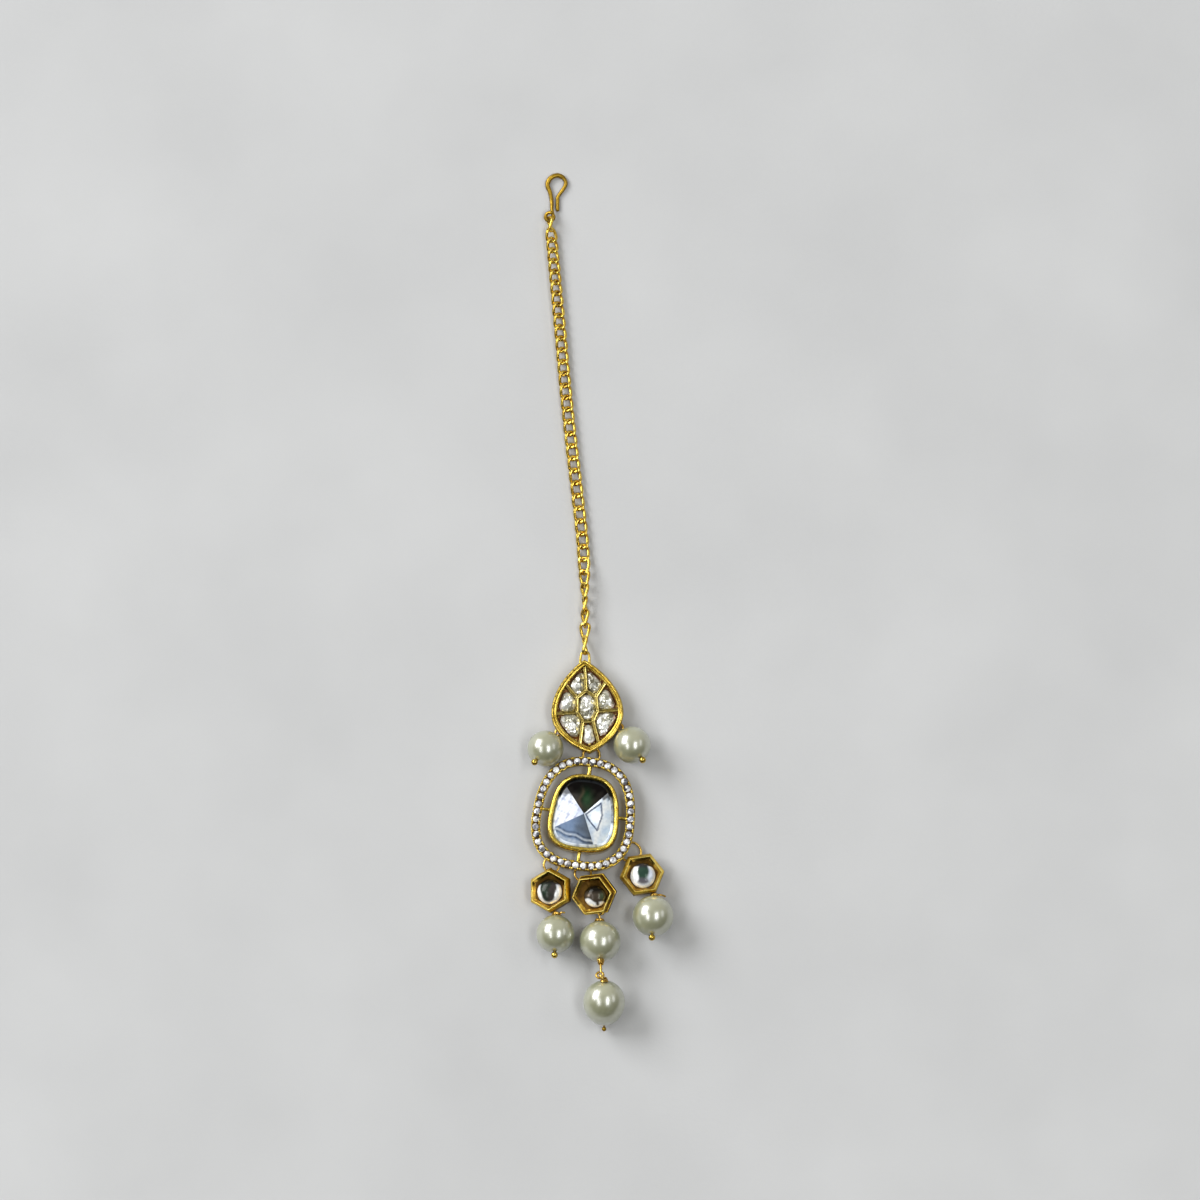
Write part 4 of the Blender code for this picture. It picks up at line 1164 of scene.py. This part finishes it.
def paint_top(offset):
    """The top facet's painted reflections: nearly black, browner on the left, with a green gleam right of its
    middle.
    """
    x, y = offset[:, :2].T
    tone = blend((0.026, 0.022, 0.018), (0.003, 0.002, 0.002), (y - 1.6) / 3.2 + 0.3 * ripple(x, y, 1.4))
    green = bell(x - 0.5 + 0.12 * y, 0.95) * bell(y - 2.7, 1.6)
    brown = bell(x + 0.85 - 0.25 * np.sin(1.9 * y), 0.3) * clamp(y / 2)
    brown = brown * clamp((5.0 - y) / 0.8)
    side = clamp((-x - 0.9) / 0.8) * clamp((3.8 - y) / 0.5)
    tone = tone + np.outer(side, (0.03, 0.028, 0.026))
    return tone + np.outer(green, (0.004, 0.040, 0.012)) + np.outer(brown, (0.035, 0.020, 0.013))


def paint_left(offset):
    """The left facet's painted reflections: white, with soft lavender-grey flecks, and a darker edge at its
    top.
    """
    x, y = offset[:, :2].T
    fleck = clamp(ripple(x, 0.7 * y, 1.5) * 1.2 + 0.7 * ripple(x, y, 3.4) - 0.1)
    fleck = fleck * clamp((-x - 0.3) / 1.0)
    tone = blend((0.50, 0.58, 0.76), (0.92, 0.95, 1.0), -x / 2.0 + 0.12 * ripple(x, y, 3.0))
    tone = blend(tone, (0.32, 0.35, 0.55), 0.7 * fleck)
    edge = clamp((y - 2.9 + 0.25 * ripple(x, y, 2.0)) / 0.5) * 0.85
    tone = blend(tone, (0.05, 0.05, 0.06), edge)
    low = clamp((-y - 2.2) / 0.8 + 0.3 * ripple(x, y, 2.0)) * 0.5
    return blend(tone, (0.30, 0.38, 0.58), low)


def near_line(x, y, corners):
    """How far each point lies from a closed line through these corners."""
    far = np.full(len(x), math.inf)
    for a, b in zip(corners, corners[1:] + corners[:1]):
        a, b = np.array(a), np.array(b)
        along = clamp(((x - a[0]) * (b - a)[0] + (y - a[1]) * (b - a)[1]) / ((b - a) @ (b - a)))
        far = np.minimum(far, np.hypot(x - a[0] - along * (b - a)[0], y - a[1] - along * (b - a)[1]))
    return far


def paint_right(offset):
    """The right facet's painted reflections: pale blue and white, with painted highlights, and a smaller facet
    seen inside it in a dark outline.
    """
    x, y = offset[:, :2].T
    band = bell(x - 3.15 - 0.1 * y, 0.35)
    tone = blend((0.50, 0.66, 0.88), (0.95, 0.98, 1.0), 0.5 + 0.4 * ripple(x, y, 0.9) + 0.7 * band)
    soft_highlight = bell(x - 2.1, 0.95) * bell(y + 0.1, 1.6)
    tone = tone + np.outer(0.9 * soft_highlight, (1.0, 1.0, 1.0))
    crest_highlight = bell(y - 1.12 * x, 0.5) * clamp(x)
    tone = tone + np.outer(0.6 * crest_highlight, (1.0, 1.0, 1.0))
    edge = clamp((y - 3.0 + 0.25 * ripple(x, y, 2.5)) / 0.4)
    tone = tone * (1 - 0.85 * edge)[:, None]
    dark = clamp((0.2 + 0.05 * ripple(x, y, 4.0) - near_line(x, y, INNER_FACET)) / 0.14)
    corner = clamp((-y - 2.9) / 0.8) * clamp((2.2 - x) * 0.8) * 0.6
    spots = clamp(ripple(x, y, 4.2) * 2 - 1.5) * clamp(y - 1.0)
    dark = np.maximum(dark, spots)
    tone = blend(tone, (0.30, 0.38, 0.52), corner)
    return blend(tone, (0.04, 0.07, 0.17), 0.95 * dark)


def paint_bottom(offset):
    """The bottom facet's painted reflections: blue-grey that pales to the left, with dark wavy lines and white
    bands towards its foot.
    """
    x, y = offset[:, :2].T
    tone = blend((0.23, 0.32, 0.49), (0.095, 0.11, 0.13), 0.85 + 0.32 * x + 0.1 * y)
    tone = blend(tone, (0.10, 0.12, 0.15), bell(y + 2.6, 0.8) * clamp(x + 1.8) * 0.7)
    wave = y + 0.22 * x + 0.14 * np.sin(1.9 * x + 0.4)
    dark = 1.0 * bell(wave + 3.85, 0.17) + 0.9 * bell(wave + 4.6, 0.16)
    dark = clamp(dark * (0.7 + 0.4 * ripple(x, y, 2.0)))
    white = bell(wave + 4.25, 0.16) * 0.7 + np.clip((-wave - 4.9) / 0.3, 0, 0.35)
    tone = blend(tone, (0.95, 0.98, 1.0), clamp(white) * (0.75 + 0.3 * ripple(x, y, 2.6)))
    return blend(tone, (0.02, 0.03, 0.06), dark)


def paint_girdle(points):
    """The girdle band's painted reflections and shade: black at the top, bright at the sides and foot with
    short dark strokes.
    """
    x, y = points[:, 0], points[:, 1]
    angle = np.arctan2(y, x)
    strokes = clamp(np.sin(17 * angle + 2 * np.sin(5 * angle)) * 1.5 - 0.6)
    tone = blend((0.75, 0.83, 0.95), (0.20, 0.24, 0.34), strokes * 0.7)
    shade = clamp((y - 2.6 - 0.15 * x) / 0.9) + clamp((x - 3.6) / 0.5) * np.clip(1.5 + y, 0, 0.6)
    return tone * (1 - 0.98 * clamp(shade))[:, None]


# The hexagonal cups


class Cup:
    """A hexagonal cup at its base point, turned about Z, then rolled about Y and tilted about X."""

    def __init__(self, side):
        self.side = side
        base, turn, tilt, roll, top_eye, bottom_eye, self.dome = HEX_CUPS[side]
        rotation = Euler((math.radians(tilt), math.radians(roll), math.radians(turn)), "ZYX")
        self.matrix = Matrix.Translation(Vector(base)) @ rotation.to_matrix().to_4x4()
        self.normal = np.array(rotation.to_matrix() @ Vector(UP))
        self.top = self.at(*top_eye)
        self.bottom = self.at(*bottom_eye)
        back = np.array(rotation.to_matrix().inverted())[:2, :2]
        self.mouth, self.seat = (back @ np.array(lean) for lean in HEX_LEANS[side])

    def at(self, u, v, z=-EYELET_DROP):
        return np.array(self.matrix @ Vector((u, v, z)))


def add_cup(side, ring_start, pearl):
    """The cup: rough sides, a matt slope up to a thin lip, a well down to the seat, and its dome; sides and
    seat in painted shade, the lip with a painted highlight.
    """
    cup = Cup(side)
    outline = hexagon(HEX_ACROSS_FLATS)
    levels, materials = cup_levels(side)
    rings = []
    for z, margin in levels:
        ring = rounded_polygon(inset(outline, margin), 0.12)
        share = clamp((z - HEX_WALL_TOP) / CUP_LEAN_HEIGHT)
        rings.append(raised(ring + share * cup.mouth, z))
    around = np.arctan2(*(rings[-1][:, :2] - cup.mouth).T[::-1])
    for beyond, z in SEAT_RINGS:
        rings.append(raised(circle(around, cup.dome / 2 + beyond) + cup.seat, z))
    # the seat round the dome in painted shade
    materials += ["shaded_cup_seat"] * len(SEAT_RINGS)
    shapes = moved(loft(rings, materials), cup.matrix)
    shapes.append(eyelet(cup.top, (cup.top - ring_start)[:2], cup.normal))
    shapes.append(eyelet(cup.bottom, (pearl.entry - cup.bottom)[:2], cup.normal))
    add_piece(f"hex_cup_{side}", shapes, "gold", f"hex_setting_{side}", sharp=50.0)
    stone = moved(dome(cup), Matrix.Translation((*cup.seat, 0.0)))
    add_piece(f"hex_dome_{side}", moved(stone, cup.matrix), "foiled_stone", f"hex_stone_{side}")


def cup_levels(side):
    """A cup's (height, inset) levels from its base to its well, and the material of each band."""
    lip = (HEX_ACROSS_FLATS - HEX_LIP_WIDTH) / 2
    levels = [(0.0, 0.12), (0.1, 0.0), (0.45, 0.02), (HEX_WALL_TOP - 0.1, 0.0), (HEX_WALL_TOP + 0.03, 0.05)]
    # the side walls in painted shade
    materials = ["shaded_side_gold"] * 3 + ["gold"] + ["matte_gold"]
    if side == "middle":
        # the middle cup's groove, in painted shade
        levels += [(HEX_WALL_TOP + 0.02, 0.14), (HEX_WALL_TOP - 0.2, 0.18), (HEX_WALL_TOP - 0.15, 0.34)]
        materials += ["shaded_side_gold"] * 3
    levels += [
        (HEX_HEIGHT - 0.16, lip - 0.16), (HEX_HEIGHT - 0.1, lip - 0.1), (HEX_HEIGHT, lip - 0.04),
        (HEX_HEIGHT, lip + 0.05), (HEX_HEIGHT - 0.1, lip + 0.1), (HEX_HEIGHT - 0.75, lip + 0.52),
    ]
    # the lip's bands carry a painted highlight
    materials += ["matte_gold", "lit_lip_gold", "lit_lip_gold", "lit_lip_gold", "well_gold"]
    return levels, materials


def rounded_polygon(corners, radius):
    """A polygon whose corners are eased."""
    points = []
    for before, here, after in zip(np.roll(corners, 1, axis=0), corners, np.roll(corners, -1, axis=0)):
        start = here + unit(before - here) * radius
        end = here + unit(after - here) * radius
        for t in np.linspace(0.0, 1.0, 3):
            points.append((1 - t) ** 2 * start + 2 * (1 - t) * t * here + t**2 * end)
        for t in (0.25, 0.5, 0.75):
            far = after + unit(here - after) * radius
            points.append(end + (far - end) * t)
    return np.array(points)


def dome(cup):
    """A domed stone, painted with the reflections that the photo shows in it."""
    radius = cup.dome / 2
    angles = np.linspace(0.0, math.pi / 2, 26)
    profile = [(radius - DOME_EDGE, DOME_FOOT)]
    for a in angles[::-1]:
        profile.append((max(radius * math.sin(a), 0.02), DOME_BASE + DOME_RISE * math.cos(a)))
    shapes = turned(profile, "dome_foil", 96)
    up = np.array(cup.matrix.inverted().to_3x3() @ Vector((0.0, 1.0, 0.0)))[:2]
    right = np.array((up[1], -up[0]))
    for shape in shapes:
        x = shape.points[:, :2] @ right / radius
        y = shape.points[:, :2] @ up / radius
        shape.paint = DOME_PAINTS[cup.side](x, y)
    return shapes


def dome_tone(core, dark, bright):
    """A dome's colours: dark where the core is 1 or more, bright where it is 0 or less, eased between."""
    core = clamp(core)
    core = core * core * (3 - 2 * core)
    return blend(bright, dark, core)


def paint_left_dome(x, y):
    """Painted reflections: a dark oval from the top nearly to the foot, and white crescents at the lower left
    and right.
    """
    core = (1.0 - np.hypot((x + 0.02) / 0.65, (y - 0.25) / 1.12)) / 0.22 + 0.5 + 0.15 * np.sin(7 * y)
    core = np.maximum(core, (y - 0.42) / 0.18)
    dark = blend((0.020, 0.034, 0.022), (0.055, 0.045, 0.042), 0.5 + x + 0.4 * ripple(x * 2, y * 2, 1.7))
    dark = blend(dark, (0.008, 0.007, 0.005), (y - 0.45) / 0.3)
    bright = blend((0.55, 0.62, 0.80), (1.0, 1.0, 1.0), 1.1 - 0.9 * y)
    return dome_tone(core, dark, bright)


def paint_middle_dome(x, y):
    """Painted reflections: mostly brown and grey, black at its top, with white at its lower left and foot, a
    green gleam and a pale glint.
    """
    wave = y + 0.3 + 0.25 * x + 0.12 * np.sin(5 * x + 1)
    core = (wave + 0.12) / 0.18 + 0.5
    core = np.maximum(core, 1.2 - np.abs(x - 0.28) / 0.22 - clamp(-y - 0.75) * 6)
    dark = blend((0.065, 0.050, 0.036), (0.006, 0.004, 0.002), (y - 0.2) / 0.35)
    green = bell(x - 0.7, 0.2) * bell(y, 0.3)
    glint = bell(x + 0.52, 0.12) * bell(y - 0.1, 0.1)
    dark = dark + np.outer(green, (0.0, 0.045, 0.012)) + np.outer(glint, (0.4, 0.32, 0.26))
    return dome_tone(core, dark, np.ones((len(x), 3)))


def paint_right_dome(x, y):
    """Painted reflections: a dark green block from its top past its middle, grey below, and a white crescent on
    each side.
    """
    core = (0.42 + 0.05 * np.sin(6 * y) - np.abs(x - 0.03)) / 0.22 + 0.5
    core = np.maximum(core, (y - 0.62) / 0.15)
    core = np.minimum(core, (y + 0.9 - 0.9 * x * x) / 0.3)
    core = np.maximum(core, np.clip((-x - 0.72) / 0.12, 0, 0.45))
    grey = (-y - 0.12) / 0.35 + 0.25 * ripple(x * 3, y * 3, 1.5)
    dark = blend((0.03, 0.065, 0.045), (0.14, 0.13, 0.15), grey)
    dark = blend(dark, (0.03, 0.03, 0.035), (y - 0.45) / 0.3)
    bright = blend((0.72, 0.78, 0.92), (1.0, 1.0, 1.0), 0.7 - x)
    return dome_tone(core, dark, bright)


DOME_PAINTS = {"left": paint_left_dome, "middle": paint_middle_dome, "right": paint_right_dome}


# Pearls, pins and rings


class Pearl:
    """A bored pearl, read from its CAD solid's box; its bore points outwards in plan and up by the tilt."""

    def __init__(self, name):
        low, high = (np.array(corner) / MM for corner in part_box(name))
        self.centre = (low + high) / 2
        outwards, tilt = PEARL_AXES[name]
        plan = np.array((*outwards, 0.0)) / np.linalg.norm(outwards)
        self.axis = plan * math.cos(math.radians(tilt)) + UP * math.sin(math.radians(tilt))
        self.is_drop = name == "drop_pearl"
        self.radius = DROP_RADIUS if self.is_drop else (high - low).max() / 2
        self.half_length = DROP_LENGTH / 2 if self.is_drop else self.radius

    def along(self, distance):
        return self.centre + self.axis * distance

    @property
    def entry(self):
        return self.along(-self.half_length)

    @property
    def exit(self):
        return self.along(self.half_length)


def add_pearl(name):
    """A polished pearl, its narrow bore's lips eased; the drop is a little narrower at its outer end."""
    pearl = Pearl(name)
    egg = 0.05 if pearl.is_drop else 0.0
    first = math.asin(PEARL_BORE / pearl.radius)
    angles = np.linspace(math.pi - first, first, 41)
    profile = [
        (pearl.radius * math.sin(a) * (1 - egg * math.cos(a)), pearl.half_length * math.cos(a))
        for a in angles
    ]
    top, bottom = profile[-1], profile[0]
    profile += [(top[0] - 0.06, top[1] - 0.05), (top[0] - 0.08, top[1] - 0.2)]
    profile += [(bottom[0] - 0.08, bottom[1] + 0.2), (bottom[0] - 0.06, bottom[1] + 0.05)]
    shapes = turned(profile, "pearl", 64, cyclic=True)
    add_piece(f"{name}_polished", moved(shapes, aimed(pearl.centre, pearl.axis)), "pearl", name)


def pin_eye(centre, heading, side):
    """A bent eye at a pin's end, from the wire's cut end round to where it straightens along the heading."""
    heading = unit(heading)
    side = unit(side)
    angles = np.radians(np.arange(20, 311, 29))
    loop = [centre + PIN_EYE_RADIUS * (math.cos(a) * heading + math.sin(a) * side) for a in angles]
    return loop + [centre + PIN_EYE_RADIUS * (1.3 * heading - 0.25 * side)]


def under_pearl(eyelet_centre, pearl):
    """A pin's level eye in an eyelet, and the wire from it to the knee where it turns up into the pearl."""
    heading = pearl.entry - eyelet_centre
    heading[2] = 0.0
    heading /= np.linalg.norm(heading)
    centre = eyelet_centre + heading * PIN_EYE_RADIUS
    plan = np.array((*pearl.axis[:2], 0.0)) / np.linalg.norm(pearl.axis[:2])
    knee = pearl.entry - plan * KNEE
    knee[2] = eyelet_centre[2] + KNEE / 3
    return pin_eye(centre, heading, np.cross(UP, heading)) + [knee]


def wrap(pearl, at_entry, turns, radius, tail=None):
    """Turns of wire wound on the pin against a pearl, from its lip outwards, and its tail if it has one."""
    sign = -1 if at_entry else 1
    axis = pearl.axis * sign
    start = pearl.along(sign * (pearl.half_length + 0.08))
    side = np.cross(axis, UP)
    side /= np.linalg.norm(side)
    other = np.cross(axis, side)
    t = np.linspace(0.0, 1.0, round(turns * 18) + 1)
    angle = 2 * math.pi * turns * t
    grow = radius * (1 - 0.35 * t)
    path = (
        start
        + np.outer(WRAP_PITCH * turns * t, axis)
        + (grow * np.cos(angle))[:, None] * side
        + (grow * np.sin(angle))[:, None] * other
    )
    if tail:
        run = np.linspace(0.0, 1.0, 8)[1:, None]
        path = np.vstack([path, path[-1] + run * np.array(tail) + run * (1 - run) * (0.0, 0.5, 0.2)])
    return wire(path, WRAP_WIRE, "wire_gold", 10)


def ball_pin(eyelet_centre, pearl):
    """A pin from an eyelet through a pearl to its ball."""
    points = under_pearl(eyelet_centre, pearl) + [pearl.entry, pearl.along(0.0), pearl.exit]
    end = pearl.along(pearl.half_length + PIN_END)
    shapes = [wire(smooth_route(points + [end], 0.12), PIN_WIRE, "wire_gold")]
    grain = turned([(0.02, -PIN_BALL)] + [
        (PIN_BALL * math.sin(a), -PIN_BALL * math.cos(a)) for a in np.linspace(0.15, math.pi - 0.15, 15)
    ] + [(0.02, PIN_BALL)], "gold", 24)
    shapes += moved(grain, aimed(pearl.along(pearl.half_length + PIN_BALL_STANDOFF), pearl.axis))
    return shapes


def add_rings():
    spans = {"centre_link": [at_eye(place) for place in LINK_EYES]}
    for side, place in FRAME_EYES.items():
        spans[f"hex_ring_{side}"] = [at_eye(place), Cup(side).top]
    for name, (start, end) in spans.items():
        span = end - start
        across = np.cross(UP, span)
        reach = np.linalg.norm(span) / 2
        angle = np.linspace(RING_OPENING, 2 * math.pi - RING_OPENING, 72)
        ring = np.column_stack([circle(angle, reach), RING_RISE * np.cos(angle / 2)])
        matrix = Matrix.Translation(Vector((start + end) / 2))
        basis = np.eye(4)
        basis[:3, 0] = unit(across)
        basis[:3, 1] = -unit(span)
        basis[:3, 2] = np.cross(basis[:3, 0], basis[:3, 1])
        shape = wire(ring, RING_WIRE, "wire_gold").moved(np.array(matrix) @ basis)
        add_piece(f"{name}_wire", [shape], "gold", name)


def add_pins():
    for side, place in UPPER_PIN_EYES.items():
        pearl = Pearl(f"upper_pearl_{side}")
        shapes = ball_pin(at_eye(place), pearl)
        add_piece(f"upper_pin_{side}_wire", shapes, "gold", f"upper_pin_{side}")
    for side in ("left", "right"):
        pearl = Pearl(f"lower_pearl_{side}")
        shapes = ball_pin(Cup(side).bottom, pearl) + [wrap(pearl, True, 2.0, 0.8, tail=WRAP_TAILS[side])]
        add_piece(f"lower_pin_{side}_wire", shapes, "gold", f"lower_pin_{side}")
    add_middle_pins()


def add_middle_pins():
    """The middle pearl's pin, with an eye at each end, and the pin that hangs the drop from it."""
    pearl, drop = Pearl("lower_pearl_middle"), Pearl("drop_pearl")
    drop_eye = drop.along(DROP_EYE) + (DROP_LEAN, 0.0, 0.0)
    hang = unit(drop.entry - drop_eye)
    link = unit(hang[:2]) * np.linalg.norm(pearl.axis[:2])
    lower_eye = drop_eye - np.array((*link, pearl.axis[2])) * PIN_EYE_RADIUS
    upper = under_pearl(Cup("middle").bottom, pearl)
    lower = pin_eye(lower_eye, pearl.exit - lower_eye, np.cross(UP, -pearl.axis))
    points = upper + [pearl.entry, pearl.along(0.0), pearl.exit] + lower[::-1]
    shapes = [wire(smooth_route(points, 0.12), PIN_WIRE, "wire_gold")]
    shapes.append(wrap(pearl, True, 2.6, 0.95))
    shapes.append(wrap(pearl, False, 3.4, 0.54))
    add_piece("lower_pin_middle_wire", shapes, "gold", "lower_pin_middle")
    hanging = pin_eye(drop_eye, hang, np.cross(hang, np.cross(UP, hang)))
    points = hanging + [drop.entry, drop.along(0.0), drop.along(DROP_PIN_END)]
    shapes = [wire(smooth_route(points, 0.12), PIN_WIRE, "wire_gold"), wrap(drop, True, 2.3, 0.6)]
    shapes.append(ball(drop.along(DROP_PIN_END - 0.25), DROP_GRAIN, "hook_gold", 16, 11))
    add_piece("drop_pin_wire", shapes, "gold", "drop_pin")


# The set: floor, lights and camera


def add_floor():
    mesh = bpy.data.meshes.new("floor")
    corners = [(u * FLOOR_REACH, v * FLOOR_REACH, 0) for u, v in ((-1, -1), (1, -1), (1, 1), (-1, 1))]
    mesh.from_pydata(corners, [], [(0, 1, 2, 3)])
    mesh.materials.append(MATERIALS["floor"])
    put_in_scene("floor", mesh)


def add_light(name, direction, width, length, power, tint):
    """A rectangular soft light that faces the object, its length along the object's own."""
    data = bpy.data.lights.new(name, "AREA")
    data.shape = "RECTANGLE"
    data.size = width
    data.size_y = length
    data.energy = power
    data.color = tint
    light = put_in_scene(name, data)
    light.visible_camera = False
    out = Vector(direction).normalized()
    across = Vector((0.0, 1.0, 0.0)).cross(out).normalized()
    basis = Matrix((across, out.cross(across), out)).transposed()
    light.matrix_world = Matrix.Translation(out * LIGHT_DISTANCE) @ basis.to_4x4()


def add_set():
    add_floor()
    for light in LIGHTS:
        add_light(*light)
    add_room()
    add_camera()
    bpy.context.scene.view_settings.view_transform = "Standard"


def add_room():
    """Plain surroundings that grow brighter towards the object's top end."""
    world = bpy.data.worlds.new("studio")
    world.use_nodes = True
    nodes, links = world.node_tree.nodes, world.node_tree.links
    direction = nodes.new("ShaderNodeSeparateXYZ")
    links.new(nodes.new("ShaderNodeTexCoord").outputs["Generated"], direction.inputs["Vector"])
    shade = nodes.new("ShaderNodeMapRange")
    shade.inputs["From Min"].default_value = -1.0
    links.new(direction.outputs["Y"], shade.inputs["Value"])
    ramp = nodes.new("ShaderNodeValToRGB")
    links.new(shade.outputs["Result"], ramp.inputs["Fac"])
    stops = [((place + 1) / 2, tuple(level * tint for tint in ROOM_TINT)) for place, level in ROOM]
    fill_ramp(ramp, stops)
    links.new(ramp.outputs["Color"], nodes["Background"].inputs["Color"])
    bpy.context.scene.world = world


def add_camera():
    """A long lens far away and nearly above the object, fitted to the photo."""
    data = bpy.data.cameras.new("camera")
    data.sensor_width = CAMERA_SENSOR
    data.lens = CAMERA_LENS
    data.clip_start, data.clip_end = CAMERA_CLIP
    camera = put_in_scene("camera", data)
    rise = math.radians(CAMERA_ELEVATION)
    back = Vector((0.0, -math.cos(rise), math.sin(rise)))
    camera.location = Vector(CAMERA_AIM) * MM + back * CAMERA_DISTANCE
    camera.rotation_euler = back.to_track_quat("Z", "Y").to_euler()
    bpy.context.scene.camera = camera


def main():
    add_set()
    add_hook()
    add_chain()
    add_leaf()
    add_centre()
    for side, place in FRAME_EYES.items():
        add_cup(side, at_eye(place), Pearl(f"lower_pearl_{side}"))
    for name in PEARL_AXES:
        add_pearl(name)
    add_rings()
    add_pins()


main()
